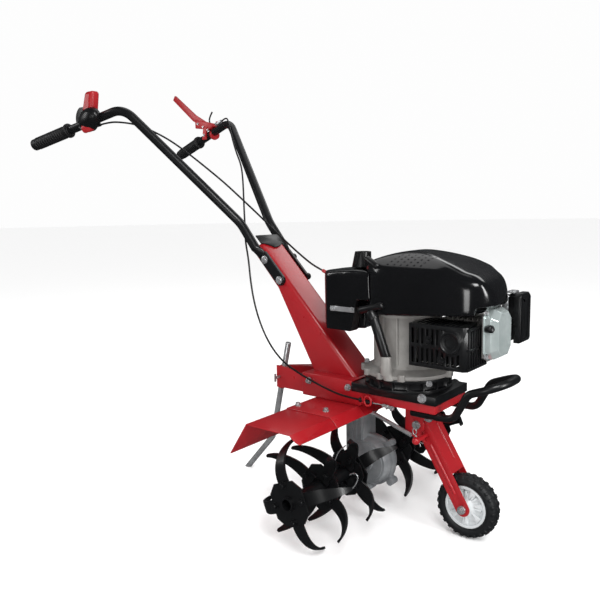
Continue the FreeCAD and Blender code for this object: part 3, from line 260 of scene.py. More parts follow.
# %% Starting a piece
def only(piece):
    """Selects one object and nothing else."""
    bpy.ops.object.select_all(action="DESELECT")
    piece.select_set(True)
    bpy.context.view_layer.objects.active = piece


def settled(name):
    """Names the primitive just added and moves its place into its mesh."""
    piece = bpy.context.object
    piece.name = name
    only(piece)
    bpy.ops.object.transform_apply(location=True, rotation=True, scale=True)
    return piece


def round_bar(name, start, end, radius, sides=32, tip=None):
    """A round bar between two places, which may taper to a tip."""
    bpy.ops.object.select_all(action="DESELECT")
    low, high = place(*start), place(*end)
    way = high - low
    bpy.ops.mesh.primitive_cone_add(vertices=sides, radius1=radius / 1000,
                                    radius2=(radius if tip is None else tip) / 1000, depth=way.length,
                                    location=(low + high) / 2,
                                    rotation=way.to_track_quat("Z", "Y").to_euler())
    return settled(name)


def block(name, low, high):
    """A block between two corners."""
    bpy.ops.object.select_all(action="DESELECT")
    near, far = place(*low), place(*high)
    bpy.ops.mesh.primitive_cube_add(size=1.0, location=(near + far) / 2)
    bpy.context.object.scale = [abs(b - a) for a, b in zip(near, far)]
    return settled(name)


print("bars and blocks ready")

# %% [markdown]
# A move in edit mode acts on all that is selected. A person clicks on faces, and a script picks them by a
# test, most often by the way they look. The commonest moves after that are an inset with a depth, and a
# slide.


# %% Picking faces
def pick(piece, wanted):
    """Opens a piece in edit mode with only the wanted faces selected."""
    only(piece)
    bpy.ops.object.mode_set(mode="EDIT")
    bpy.ops.mesh.select_mode(type="FACE")
    bpy.ops.mesh.select_all(action="DESELECT")
    shape = bmesh.from_edit_mesh(piece.data)
    for face in shape.faces:
        face.select_set(wanted(face))
    bmesh.update_edit_mesh(piece.data)


def close_up():
    """Leaves edit mode."""
    bpy.ops.object.mode_set(mode="OBJECT")


def facing(way, least=0.95):
    """A test that picks faces which look one way."""
    way = Vector(way).normalized()
    return lambda face: face.normal.dot(way) > least


def stepped(piece, way, *steps):
    """Insets the faces that look one way, once for each width and depth in millimetres."""
    pick(piece, facing(way))
    for width, depth in steps:
        bpy.ops.mesh.inset(thickness=width / 1000, depth=depth / 1000)
    close_up()
    return piece


def slid(piece, way, move):
    """Moves the faces that look one way, by so many millimetres."""
    pick(piece, facing(way))
    bpy.ops.transform.translate(value=[step / 1000 for step in move])
    close_up()
    return piece


print("picking ready")

# %% [markdown]
# A finished piece has its sharp edges rounded and its seams closed. It rides on a body, has the finish of its
# slot, and says which CAD blocks it stands for, so that they are hidden.

# %% Finishing a piece
MERGE = 0.00001                             # corners closer than this, in metres, become one


def ease(piece, width, sharpest=35, segments=2):
    """Bevels a piece's sharp edges with a modifier, and applies it."""
    only(piece)
    bevel = piece.modifiers.new("ease", "BEVEL")
    bevel.width = width / 1000
    bevel.segments = segments
    bevel.limit_method = "ANGLE"
    bevel.angle_limit = math.radians(sharpest)
    bpy.ops.object.modifier_apply(modifier=bevel.name)
    return piece


def done(piece, body, slot, *blocks, smooth=35):
    """Closes a piece's seams, and gives it its finish, its body and the CAD blocks that it stands for."""
    only(piece)
    bpy.ops.object.mode_set(mode="EDIT")
    bpy.ops.mesh.select_all(action="SELECT")
    bpy.ops.mesh.remove_doubles(threshold=MERGE)
    close_up()
    piece.data.materials.clear()
    piece.data.materials.append(FINISH[slot])
    bpy.ops.object.shade_smooth_by_angle(angle=math.radians(smooth))
    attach(piece, body)
    if blocks:
        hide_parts(*blocks)
    print(piece.name, "faces", len(piece.data.polygons))
    return piece


def joined(name, pieces):
    """Several pieces as one."""
    bpy.ops.object.select_all(action="DESELECT")
    for piece in pieces:
        piece.select_set(True)
    bpy.context.view_layer.objects.active = pieces[0]
    bpy.ops.object.join()
    pieces[0].name = name
    return pieces[0]


print("finishing ready")

# %% [markdown]
# A CAD block has razor edges, and real sheet and mouldings don't: they carry a small radius that draws a
# bright line. For sheet, a copy of the block is merged into one skin and its sharp edges are bevelled. The
# block itself is never touched.


# %% Copies of blocks
def copy_of(source, name):
    """A copy of a CAD block with its loose triangles merged into one skin."""
    piece = bpy.data.objects.new(name, node[source].data.copy())
    bpy.context.scene.collection.objects.link(piece)
    only(piece)
    bpy.ops.object.mode_set(mode="EDIT")
    bpy.ops.mesh.select_all(action="SELECT")
    bpy.ops.mesh.remove_doubles(threshold=MERGE)
    bpy.ops.mesh.dissolve_limited(angle_limit=math.radians(1.0))
    close_up()
    return piece


def eased(source, name, width, body, slot, segments=2):
    """A bevelled copy that stands for its block."""
    piece = ease(copy_of(source, name), width, 32, segments)
    return done(piece, body, slot, source)


def moved(piece, wanted, way):
    """Moves the corners that pass a test, which is given each corner's place in millimetres."""
    only(piece)
    bpy.ops.object.mode_set(mode="EDIT")
    bpy.ops.mesh.select_mode(type="VERT")
    bpy.ops.mesh.select_all(action="DESELECT")
    shape = bmesh.from_edit_mesh(piece.data)
    for vert in shape.verts:
        spot = (vert.co - place(0, 0, 0)) * 1000
        vert.select_set(wanted(spot.x, spot.y, spot.z))
    shape.select_flush(True)
    bmesh.update_edit_mesh(piece.data)
    bpy.ops.transform.translate(value=[step / 1000 for step in way])
    close_up()
    return piece


print("copies ready")

# %% [markdown]
# A moulding is rounder than any bevel. So its copy is remeshed into small even squares and smoothed, as
# sanding would do. Where only its upper ridges should roll over, a vertex group holds the rest back.


# %% Sanding and rolling
def sanded(piece, square, passes):
    """Remeshes a piece into squares of so many millimetres, and smooths it."""
    only(piece)
    remesh = piece.modifiers.new("remesh", "REMESH")
    remesh.mode = "VOXEL"
    remesh.voxel_size = square / 1000
    bpy.ops.object.modifier_apply(modifier=remesh.name)
    smooth = piece.modifiers.new("smooth", "SMOOTH")
    smooth.factor = 0.5
    smooth.iterations = passes
    bpy.ops.object.modifier_apply(modifier=smooth.name)
    return piece


def rolled(piece, low, high, passes):
    """Smooths only what lies above a height, growing from nothing at low to the full pull at high."""
    only(piece)
    upper = piece.vertex_groups.new(name="upper")
    for vert in piece.data.vertices:
        share = (vert.co.z * 1000 - low) / (high - low)
        upper.add([vert.index], min(1.0, max(0.0, share)), "REPLACE")
    smooth = piece.modifiers.new("roll", "SMOOTH")
    smooth.factor = 0.5
    smooth.iterations = passes
    smooth.vertex_group = upper.name
    bpy.ops.object.modifier_apply(modifier=smooth.name)
    return piece


print("sanding ready")

# %% [markdown]
# ## The engine's covers
# The blower hood is one glossy moulding with a rolled ridge. Fine holes over the fan let air in. Each hole
# is sunk by a small cone that stands square to the skin, which a ray cast down on the hood finds, and one
# Boolean modifier takes all the cones out together.

# %% Hood
hood = sanded(copy_of("engine_shroud", "blower_hood"), 2.6, 12)
rolled(hood, 545, 590, 110)
VENT_ROWS, VENTS_IN_ROW = 5, 6
cutters = []
for row in range(VENT_ROWS):
    for column in range(VENTS_IN_ROW):
        above = place(104 + 17 * column + 5 * row, -90 + 8 * row, 720)
        _, spot, way, _ = hood.ray_cast(above, Vector((0, 0, -1)))
        bpy.ops.object.select_all(action="DESELECT")
        bpy.ops.mesh.primitive_cone_add(vertices=12, radius1=0.0008, radius2=0.0034, depth=0.006,
                                        location=spot - way * 0.0012,
                                        rotation=way.to_track_quat("Z", "Y").to_euler())
        cutters.append(settled("vent_cutter"))
cutter = joined("vent_cutters", cutters)
only(hood)
vents = hood.modifiers.new("vents", "BOOLEAN")
vents.operation = "DIFFERENCE"
vents.object = cutter
bpy.ops.object.modifier_apply(modifier=vents.name)
print("air holes", len(cutters))
bpy.data.objects.remove(cutter)
done(hood, "frame", "gloss_black", "engine_shroud", smooth=60)

# %% [markdown]
# The tank is a second moulding, with a lower box and a step that wraps round the hood's rear. It could be
# built from new, but its block already has the form. Only the lower box's front wall is first moved back,
# and then the copy is sanded and rolled as the hood was.

# %% Tank
tank = moved(copy_of("fuel_tank", "tank_moulding"),
             lambda x, y, z: 10 < x < 30 and z < 545, (-20, 0, 0))
sanded(tank, 2.4, 12)
rolled(tank, 555, 590, 60)
done(tank, "frame", "gloss_black", "fuel_tank", smooth=60)

# %% [markdown]
# The tank's cap is gripped by fingers, so its side is fluted. It is a tapered bar with many sides. Its top is
# slid forward and gets a shallow dish from two insets, the rim is eased, and then every second side face is
# pushed in.

# %% Fuel cap
CAP = (0, -42)
CAP_SIDES = 48
cap = round_bar("fluted_cap", (*CAP, 621.4), (*CAP, 659.2), 24.0, CAP_SIDES, 19.5)
slid(cap, (0, 0, 1), (4, 0, 0))
stepped(cap, (0, 0, 1), (3.5, 0), (2, -1.8))
ease(cap, 2.4, 40, 3)
pick(cap, lambda face: abs(face.normal.z) < 0.4
     and round(math.atan2(face.normal.y, face.normal.x) / (math.tau / CAP_SIDES) - 0.5) % 2 == 0)
bpy.ops.mesh.inset(thickness=0.0004, depth=-0.0012, use_individual=True)
close_up()
done(cap, "frame", "black_plastic", "fuel_cap", smooth=25)

# %% [markdown]
# Beside the cap lies the recoil starter's handle: a T-shaped grip on a short neck, at the end of its rope.
# The grip is a bar with both ends domed by an inset, and the neck is a thinner bar that is joined to it.

# %% Starter handle
pull = round_bar("starter_pull", (44, -84, 645), (79, -94, 629), 8.0, 24)
for way in ((35, -10, -16), (-35, 10, 16)):
    stepped(pull, way, (3, 2.5))
neck = round_bar("starter_neck", (61, -90, 637), (66, -66, 634), 5.5, 20)
pull = joined("starter_pull", [ease(pull, 1.0), ease(neck, 0.8)])
done(pull, "frame", "black_plastic")

# %% [markdown]
# Hexagon screws hold most of the machine together. An array could repeat one head, but the screws stand at
# many angles. So a head with its washer is modelled once, one millimetre across, and each screw is a copy
# that is scaled to its width, turned to its face and moved to its place.

# %% A hexagon screw, modelled once
def hex_screw():
    """A screw head with its washer, one millimetre across, pointing up from the origin."""
    head = round_bar("screw", (0, 0, 0.12), (0, 0, 0.62), 0.5, 6)
    stepped(head, (0, 0, 1), (0.08, 0.06))
    washer = round_bar("washer", (0, 0, -0.02), (0, 0, 0.14), 0.66, 28)
    screw = joined("screw_master", [head, washer])
    screw.data.transform(Matrix.Translation((-AXLE_X, 0, 0)))
    return screw


def screws(name, spots, body, slot="zinc"):
    """Copies of the screw, each (place, direction, width across), joined as one piece."""
    master = hex_screw()
    copies = []
    for spot, way, wide in spots:
        copy = bpy.data.objects.new(name, master.data.copy())
        bpy.context.scene.collection.objects.link(copy)
        copy.location = place(*spot)
        copy.rotation_euler = Vector(way).to_track_quat("Z", "Y").to_euler()
        copy.scale = (wide, wide, wide)
        only(copy)
        bpy.ops.object.transform_apply(location=True, rotation=True, scale=True)
        copies.append(copy)
    bpy.data.objects.remove(master)
    return done(joined(name, copies), body, slot)


print("screw ready")

# %% [markdown]
# A plated strap carries the throttle's swivel on the tank's side. It is a thin block whose face is inset so
# that its middle stands a little proud, and two hexagon screws hold it.

# %% Linkage strap
RIGHT = (0, -1, 0)
UP = (0, 0, 1)
strap = block("linkage_strap", (-54, -99, 518), (16, -97, 530))
stepped(strap, RIGHT, (3, 0.8))
done(ease(strap, 0.6), "frame", "zinc")
screws("linkage_screws", [((-46, -99, 524), RIGHT, 10), ((10, -99, 525), RIGHT, 10)], "frame")

# %% [markdown]
# ## The engine's front
# The valve cover is bright pressed steel with eight sides and a flange. Its folds are crisp, so the copy of
# its block gets a narrow bevel, and only very shallow corners are shaded smooth, which keeps every side
# flat. Its front is left plain.

# %% Valve cover
cover = ease(copy_of("valve_cover", "rocker_cover"), 1.8, 20, 2)
done(cover, "frame", "chrome_cover", "valve_cover", smooth=12)
AHEAD = (1, 0, 0)
screws("cover_screws", [((330, -66, 540), AHEAD, 9), ((330, -66, 446), AHEAD, 9), ((330, 8, 540), AHEAD, 9)],
       "frame")

# %% [markdown]
# A rubber boot covers the spark plug at the cover's edge: a short round bar, domed by two insets.

# %% Plug boot
boot = round_bar("plug_boot", (332, -64, 506), (346, -72, 508), 8.5, 28)
stepped(boot, (14, -8, 2), (3, 3), (2, -1.5))
done(ease(boot, 1.6), "frame", "black_plastic")

# %% [markdown]
# The muffler's guard is stamped sheet with two rows of slots. Its block already has them, so the copy is
# only eased, in one step, which leaves the slots crisp. The outlet is a turned ring: a short bar whose face
# is stepped and then sunk, one inset at a time.

# %% Muffler guard
eased("muffler_guard", "slotted_guard", 0.7, "frame", "black_paint", segments=1)
ring = round_bar("outlet_ring", (274, -116, 478), (274, -121, 478), 23.5, 48)
stepped(ring, RIGHT, (3, 0), (1.5, -2.2), (6.2, 0), (1.2, -20))
done(ease(ring, 0.5), "frame", "black_paint")
screws("guard_screws", [((223, -115.4, 476), RIGHT, 10), ((255, -115.4, 436), RIGHT, 10)], "frame",
       "black_paint")

# %% [markdown]
# The air filter is a moulded box with a separate lid. The copy's edges are eased, and the lid's face is inset
# to a raised panel. Between it and the hood show a bright bracket and the carburettor's body, two blocks
# with stepped faces, which are joined as one piece.

# %% Air filter
LID_FACE = 366
filter_box = ease(copy_of("air_filter", "filter_box"), 2.0, 30, 2)
pick(filter_box, lambda face: face.normal.x > 0.98 and face.calc_center_median().x > place(LID_FACE, 0, 0).x)
bpy.ops.mesh.inset(thickness=0.008, depth=0.0)
bpy.ops.mesh.inset(thickness=0.002, depth=0.0012)
close_up()
done(filter_box, "frame", "black_plastic", "air_filter")
bracket = block("carburettor_bracket", (334, 34, 572), (352, 60, 576))
stepped(bracket, UP, (3, 1))
carburettor = block("carburettor_body", (322, 34, 530), (338, 62, 566))
stepped(carburettor, AHEAD, (6, 4))
bracket = joined("carburettor_bracket", [ease(bracket, 0.8), ease(carburettor, 1.5)])
done(bracket, "frame", "zinc")

# %% [markdown]
# The oil filler is a straight black tube from a boss on the crankcase, closed by a T-shaped handle. Tube,
# elbow and handle are turned bars with eased ends. The boss is cast with the case and has its finish.

# %% Oil filler
tube = round_bar("oil_filler", (109, -106, 424), (74, -105, 516), 11.5, 36)
elbow = round_bar("filler_elbow", (76, -105, 508), (66, -104, 527), 13.5, 36, 11.5)
handle = round_bar("filler_handle", (38, -104, 527), (99, -104, 542), 8.5, 32)
for way in ((61, 0, 15), (-61, 0, -15)):
    stepped(handle, way, (2.8, 2.5))
filler = joined("oil_filler", [ease(tube, 1.0), ease(elbow, 2.0), ease(handle, 1.2)])
done(filler, "frame", "black_plastic", "dipstick")
boss = round_bar("filler_boss", (109, -105, 384), (109, -105, 427), 14.0, 40, 13.0)
stepped(boss, UP, (2, 0), (1, -3))
done(ease(boss, 0.8), "frame", "engine_case")

# %% [markdown]
# The crankcase and the finned cylinder are castings, and under them sits a ribbed flange. Their blocks have
# every form already, so only the edges are rounded, and least on the fins, which are thin.

# %% Crankcase, cylinder and flange
eased("crankcase", "crank_housing", 1.2, "frame", "engine_case")
eased("cylinder_block", "finned_cylinder", 0.6, "frame", "engine_case", segments=1)
eased("engine_flange", "ribbed_flange", 0.8, "frame", "black_paint")

# %% [markdown]
# The guard's front end is a row of upright bars over three rails. Eight slots could be cut through a plate,
# but bars are simpler: each is an eased block, and each rail a block with a lip from an inset.

# %% Guard's front grille
BARS, BAR_STEP, BAR_WIDE = 8, 11.4, 5
bars = []
for n in range(BARS):
    y = -108 + BAR_STEP * n
    bars.append(ease(block("grille_bar", (311, y, 421), (315, y + BAR_WIDE, 509)), 0.8))
for low in (420, 461, 504):
    rail = block("grille_rail", (310.5, -110, low), (314.6, -22, low + 6))
    bars.append(stepped(rail, AHEAD, (1, 0.6)))
done(joined("guard_grille", bars), "frame", "black_paint")

# %% [markdown]
# ## Sheet steel and castings
# Folded sheet shows a thin bright line along each fold, and that line is most of what says "painted steel".
# The folds could be modelled one by one, but a bevel over each copy of a block makes them all at once. The
# width is the bend's radius: one to two millimetres on sheet, a little more on the gearbox casting.

# %% Eased copies of the frame's sheet
SHEET = [("deck_frame", "deck_sheet", 1.5, "red_paint"), ("cover_plate", "deck_plate", 1.0, "black_paint"),
         ("handle_column", "folded_column", 2.0, "red_paint"),
         ("wheel_bracket", "folded_bracket", 1.2, "red_paint"),
         ("right_inner_guard", "right_near_shield", 1.0, "red_paint"),
         ("left_inner_guard", "left_near_shield", 1.0, "red_paint"),
         ("right_outer_guard", "right_far_shield", 1.0, "red_paint"),
         ("left_outer_guard", "left_far_shield", 1.0, "red_paint"),
         ("stake_bracket", "stake_sleeve", 1.0, "red_paint"), ("gearbox", "gear_casting", 2.2, "cast_grey"),
         ("handle_crosspiece", "top_plate", 0.7, "black_paint")]
for source, name, width, slot in SHEET:
    eased(source, name, width, "frame", slot)

# %% [markdown]
# Ahead of the gearbox's neck the two guards meet in an apron: a plate under the deck whose front edge is
# extruded down and forward, in line with the guards' own front flaps.

# %% Apron between the guards
apron = block("neck_apron", (-8, -77, 284), (9.6, 77, 285.9))
pick(apron, facing(AHEAD))
bpy.ops.mesh.extrude_region_move(TRANSFORM_OT_translate={"value": (0.0205, 0, -0.0195)})
close_up()
done(ease(apron, 0.6), "frame", "red_paint")

# %% [markdown]
# The wheel's arm is folded from one sheet, with long ribs pressed into its web and both legs. A pressed rib
# is a bar sunk to its middle, with each end rounded off by three insets. The web's lower end is first drawn
# out a little towards the wheel.


# %% Pressed ribs on the arm
def rib(name, start, end, radius):
    """A long round rib with domed ends."""
    piece = round_bar(name, start, end, radius, 20)
    way = place(*end) - place(*start)
    for side in (way, -way):
        pick(piece, facing(side))
        for step in (0.3, 0.35, 0.6):
            bpy.ops.mesh.inset(thickness=radius * step * 0.4 / 1000, depth=radius * 0.28 / 1000)
        close_up()
    return piece


HUB = (265, 75)
ARM_RUN = Vector((171 - 265, 232 - 75)).normalized()


def on_arm(run, off, y):
    """A place on the arm: so far up from the wheel's axle, so far ahead of the arm's middle, and at y."""
    return (HUB[0] + ARM_RUN.x * run + ARM_RUN.y * off, y, HUB[1] + ARM_RUN.y * run - ARM_RUN.x * off)


WEB_END, DRAWN_OUT = 84, 4
LEG, WEB = 30.4, 16.2                        # from the arm's middle to the skin of a leg and of the web
arm = moved(copy_of("wheel_arm", "pressed_arm"),
            lambda x, y, z: abs((x - HUB[0]) * ARM_RUN.x + (z - HUB[1]) * ARM_RUN.y - WEB_END) < 0.5,
            (-DRAWN_OUT * ARM_RUN.x, 0, -DRAWN_OUT * ARM_RUN.y))
ease(arm, 1.8, 32, 3)
ribs = [rib("arm_rib", on_arm(38, 0, side * LEG), on_arm(158, 0, side * LEG), 3.6) for side in (-1, 1)]
ribs.append(rib("arm_rib", on_arm(108, WEB, 9), on_arm(198, WEB, 9), 3.6))
done(joined("pressed_arm", [arm, *ribs]), "wheel_arm", "red_paint", "wheel_arm")

# %% [markdown]
# ## The transport wheel
# The tyre carries a row of blocks round its middle and a knob on each shoulder between them. One block and
# one knob are modelled, and the rest are copies turned about the axle, each with its own mesh. The carcass
# is the CAD tyre let down by the height of the tread, so the wheel keeps its size.

# %% Tyre
TREADS = 26
BELT, LET_DOWN = 0.064, 0.968               # radius of the belt in metres, and what is left of it
carcass = copy_of("wheel_tyre", "tyre_carcass")
hub_spot = place(HUB[0], 0, HUB[1])
only(carcass)
bpy.ops.object.mode_set(mode="EDIT")
bpy.ops.mesh.select_mode(type="VERT")
bpy.ops.mesh.select_all(action="DESELECT")
rubber = bmesh.from_edit_mesh(carcass.data)
for vert in rubber.verts:
    reach = math.hypot(vert.co.x - hub_spot.x, vert.co.z - hub_spot.z)
    vert.select_set(reach > BELT)
rubber.select_flush(True)
bmesh.update_edit_mesh(carcass.data)
bpy.ops.transform.resize(value=(LET_DOWN, 1.0, LET_DOWN), center_override=hub_spot)
close_up()
ease(carcass, 3.0, 20, 3)
middle_block = block("tread", (HUB[0] - 5.5, -5.5, HUB[1] + 70), (HUB[0] + 5.5, 5.5, HUB[1] + 74.8))
masters = [(ease(middle_block, 1.4, 30, 2), 0.0)]
for side, near, far in ((1, 9, 19.5), (-1, -19.5, -9)):
    knob = block("tread", (HUB[0] - 4, near, HUB[1] + 66), (HUB[0] + 4, far, HUB[1] + 73.6))
    slid(knob, (0, side, 0), (0, 0, -3.4))
    masters.append((ease(knob, 1.3, 30, 2), 0.5))
treads = []
for master, shift in masters:
    for turn in range(TREADS):
        copy = bpy.data.objects.new("tread", master.data.copy())
        bpy.context.scene.collection.objects.link(copy)
        spin = Matrix.Rotation((turn + shift) * math.tau / TREADS, 4, "Y")
        copy.data.transform(Matrix.Translation(hub_spot) @ spin @ Matrix.Translation(-hub_spot))
        treads.append(copy)
    bpy.data.objects.remove(master)
done(joined("tread_tyre", [carcass, *treads]), "front_wheel", "tyre", "wheel_tyre")

# %% [markdown]
# The wheel's disc is moulded in seven petals. Each petal is a shallow wedge: one block, drawn in towards the
# hub and eased. It is copied round the axle on both faces, and a mirrored copy is turned right side out.

# %% Rim
PETALS = 7
disc = ease(copy_of("wheel_rim", "petal_rim"), 1.2, 25, 2)
petal = block("petal", (HUB[0] - 8.5, -13.4, HUB[1] + 13), (HUB[0] + 8.5, -5, HUB[1] + 43))
pick(petal, facing((0, 0, -1)))
bpy.ops.transform.resize(value=(0.35, 1.0, 1.0))
close_up()
stepped(petal, RIGHT, (4.5, 1.5))
ease(petal, 1.8, 20, 3)
petals = []
for turn in range(PETALS):
    for side in (1, -1):
        copy = bpy.data.objects.new("petal", petal.data.copy())
        bpy.context.scene.collection.objects.link(copy)
        spin = Matrix.Rotation((turn + 0.5) * math.tau / PETALS, 4, "Y")
        copy.data.transform(Matrix.Translation(hub_spot) @ spin @ Matrix.Diagonal((1, side, 1, 1))
                            @ Matrix.Translation(-hub_spot))
        if side < 0:
            copy.data.flip_normals()
        petals.append(copy)
bpy.data.objects.remove(petal)
done(joined("petal_rim", [disc, *petals]), "front_wheel", "white_plastic", "wheel_rim")

# %% [markdown]
# ## Bolts
# Every bolt head is a copy of the one hexagon screw, set square to its face and scaled to its width across.

# %% Frame bolts
FRAME_BOLTS = [((-139.7, -80.3, 327.6), RIGHT, 13), ((-16.9, -80.3, 328.6), RIGHT, 13),
               ((188.1, -80.3, 335.5), RIGHT, 16), ((148.9, -36.5, 256.7), RIGHT, 12),
               ((-28.4, -155.2, 286), UP, 12), ((-112, -158.6, 286), UP, 12)]
mirrored = [((x, -y, z), (way[0], -way[1], way[2]), wide) for (x, y, z), way, wide in FRAME_BOLTS]
screws("frame_bolts", FRAME_BOLTS + mirrored, "frame")
screws("flange_bolts", [((31.5, -68, 397), UP, 11), ((104.7, -106, 384.3), RIGHT, 12),
                        ((212.8, -92, 375.7), RIGHT, 11)], "frame")
screws("arm_bolts", [((178.5, -31, 275), RIGHT, 15)], "wheel_arm")
screws("wheel_nut", [((265, -37, 75), RIGHT, 14), ((265, 37, 75), (0, 1, 0), 14)], "wheel_arm")

# %% [markdown]
# Each tine plate is bolted to its flange in four places, a quarter of a turn apart. A head stands on one side
# and a nut on the other, and the whole circle is turned as far as its plate is at rest.

# %% Tine bolts
BOLT_CIRCLE, AXLE_HEIGHT, BOLT_WIDE = 41.5, 127, 12
TINE_BOLTS = []
for side in (-1, 1):
    for head, nut, phase in ((328, 319, 22), (215, 224, 147), (118, 127, -26), (106, 97, -54)):
        for quarter in range(4):
            turn = math.radians(phase - 1 + 90 * quarter)
            x, z = BOLT_CIRCLE * math.cos(turn), AXLE_HEIGHT + BOLT_CIRCLE * math.sin(turn)
            out = side if head > nut else -side
            TINE_BOLTS.append(((x, side * head, z), (0, out, 0), BOLT_WIDE))
            TINE_BOLTS.append(((x, side * nut, z), (0, -out, 0), BOLT_WIDE))
screws("tine_bolts", TINE_BOLTS, "tine_rotor", "black_paint")

# %% [markdown]
# ## Wire
# Spring clips and hooks are bent from round wire. A NURBS curve with a bevel bends as wire does, through a
# few points, and Convert makes it a mesh, so that it can take smooth shading with the rest.


# %% A bent wire
def wire(name, route, radius, body, slot="zinc", closed=False):
    """Round wire through a few places, as a mesh."""
    curve = bpy.data.curves.new(name, "CURVE")
    curve.dimensions = "3D"
    curve.bevel_depth = radius / 1000
    curve.bevel_resolution = 3
    curve.resolution_u = 8
    curve.use_fill_caps = True
    spline = curve.splines.new("NURBS")
    spline.points.add(len(route) - 1)
    for point, spot in zip(spline.points, route):
        point.co = (*place(*spot), 1.0)
    spline.order_u = 3
    spline.use_endpoint_u = not closed
    spline.use_cyclic_u = closed
    piece = bpy.data.objects.new(name, curve)
    bpy.context.scene.collection.objects.link(piece)
    only(piece)
    bpy.ops.object.convert(target="MESH")
    return done(bpy.context.object, body, slot, smooth=60)


wire("lock_clip", [(172, -58, 212), (166, -58, 226), (160, -58, 236), (151, -58, 241), (151, -58, 251),
                   (159, -58, 253), (162, -58, 244), (156, -58, 236), (166, -58, 230), (171, -58, 221),
                   (179, -58, 222)], 1.3, "wheel_arm")
wire("sleeve_clip", [(25, -150, 211), (8, -150, 198), (-6, -150, 172), (-14, -150, 148), (-12, -150, 124),
                     (12, -150, 120)], 1.3, "tine_rotor")
wire("sleeve_hook", [(-2, -152, 113), (8, -155, 96), (26, -155, 96), (44, -152, 110), (56, -150, 128),
                     (60, -150, 146), (46, -150, 150), (36, -150, 142)], 1.6, "tine_rotor")

# %% [markdown]
# The clutch cable ends in a red ring at the deck's side. Its inner wire goes on to a plated hook under the
# deck, with a nut that sets its length.

# %% Clutch cable's end
RING = (50, -91, 309)
wire("red_ring", [(RING[0] + 10 * math.cos(t), RING[1] - 4, RING[2] + 12 * math.sin(t))
                  for t in [math.tau * n / 10 for n in range(10)]], 2.4, "frame", "red_plastic", closed=True)
boot_end = round_bar("cable_boot", (24, -90, 307.2), (60, -89, 305), 6.0, 24, 4.0)
done(ease(boot_end, 0.8), "frame", "cable_black")
wire("clutch_wire", [(54, -89, 305), (66, -86, 304), (80, -83, 303), (96, -82, 301)], 1.2, "frame")
hook = round_bar("clutch_hook", (84, -82.5, 302), (112, -80, 298), 4.2, 20)
stepped(hook, (28, 2, -4), (1.2, 1.2))
done(ease(hook, 0.6), "frame", "zinc")
screws("hook_nuts", [((98, -83.5, 300), (-7, 0.5, 1), 9), ((108, -83.5, 298.6), (7, -0.5, -1), 9)], "frame")

# %% [markdown]
# ## Handlebar ends
# A grip is pulled over each tube. Its rings are turned bars of the grip's width, one modelled and the rest
# copied along the handle, and a wider collar stops the hand from sliding forward.

# %% Grips
RINGS, RING_STEP = 13, 9
for side, name in ((-1, "right"), (1, "left")):
    end, inner = Vector((-1028, side * 281, 969)), Vector((-690, side * 205, 1050))
    way = (inner - end).normalized()
    pieces = [ease(copy_of(f"{name}_grip", f"{name}_ribbed_grip"), 1.0, 40, 2)]
    for step in range(RINGS):
        low = end + way * (12 + RING_STEP * step)
        pieces.append(ease(round_bar("grip_ring", low, low + way * 4.5, 18.3, 32), 1.4, 40, 2))
    collar = end + way * 138
    pieces.append(ease(round_bar("grip_collar", collar, collar + way * 8, 21.0, 32), 1.6, 40, 2))
    done(joined(f"{name}_ribbed_grip", pieces), "frame", "grip_rubber", f"{name}_grip", smooth=50)

# %% [markdown]
# The throttle is a black drum clamped to the right handle, with a red paddle on top and a red foot below.
# The block's own paddle is cut off by two bisects, and a flattened sphere is the drum's shell. The new paddle
# is a block whose top leans forward and narrows, rounded wide, with a panel raised on its side.

# %% Throttle control
drum = copy_of("throttle_control", "throttle_drum")
for spot, way in (((-821, -236, 1061), (0, 0, -1)), ((-821, -250.5, 1030), (0, 1, 0))):
    only(drum)
    bpy.ops.object.mode_set(mode="EDIT")
    bpy.ops.mesh.select_all(action="SELECT")
    bpy.ops.mesh.bisect(plane_co=place(*spot), plane_no=way, clear_inner=True, use_fill=True)
    close_up()
ease(drum, 4.0, 32, 3)
bpy.ops.object.select_all(action="DESELECT")
bpy.ops.mesh.primitive_uv_sphere_add(segments=40, ring_count=24, radius=0.001,
                                     location=place(-806, -237, 1026))
shell = bpy.context.object
shell.scale = (57, 26, 32)
shell.rotation_euler = (0, math.radians(-12), math.radians(-13))
shell = settled("throttle_shell")
pick(shell, lambda face: face.normal.y < -0.9)
bpy.ops.mesh.inset(thickness=0.002, depth=0.0008)
close_up()
done(joined("throttle_drum", [drum, shell]), "frame", "black_plastic", "throttle_control", smooth=50)
paddle = block("throttle_paddle", (-826, -251, 1044), (-778, -223, 1102))
pick(paddle, facing(UP))
bpy.ops.transform.translate(value=(0.016, 0, 0.0))
bpy.ops.transform.resize(value=(0.78, 1.0, 1.0), center_override=place(-782, -237, 1099))
close_up()
ease(paddle, 9.0, 30, 5)
stepped(paddle, RIGHT, (4, 1.5))
foot = ease(round_bar("throttle_foot", (-818, -250, 999), (-790, -240, 1006), 12, 24), 3.0)
done(joined("throttle_paddle", [paddle, foot]), "frame", "red_plastic")

# %% [markdown]
# The clutch is a red lever with a long blade, hinged on a cheek with bright rivets, and a leg and a band
# hold it to the tube. A black catch stands beside it, and the cable enters through a plated adjuster. The
# block's own clamp is cut off by one bisect, and what replaces it is built from blocks and a bar.

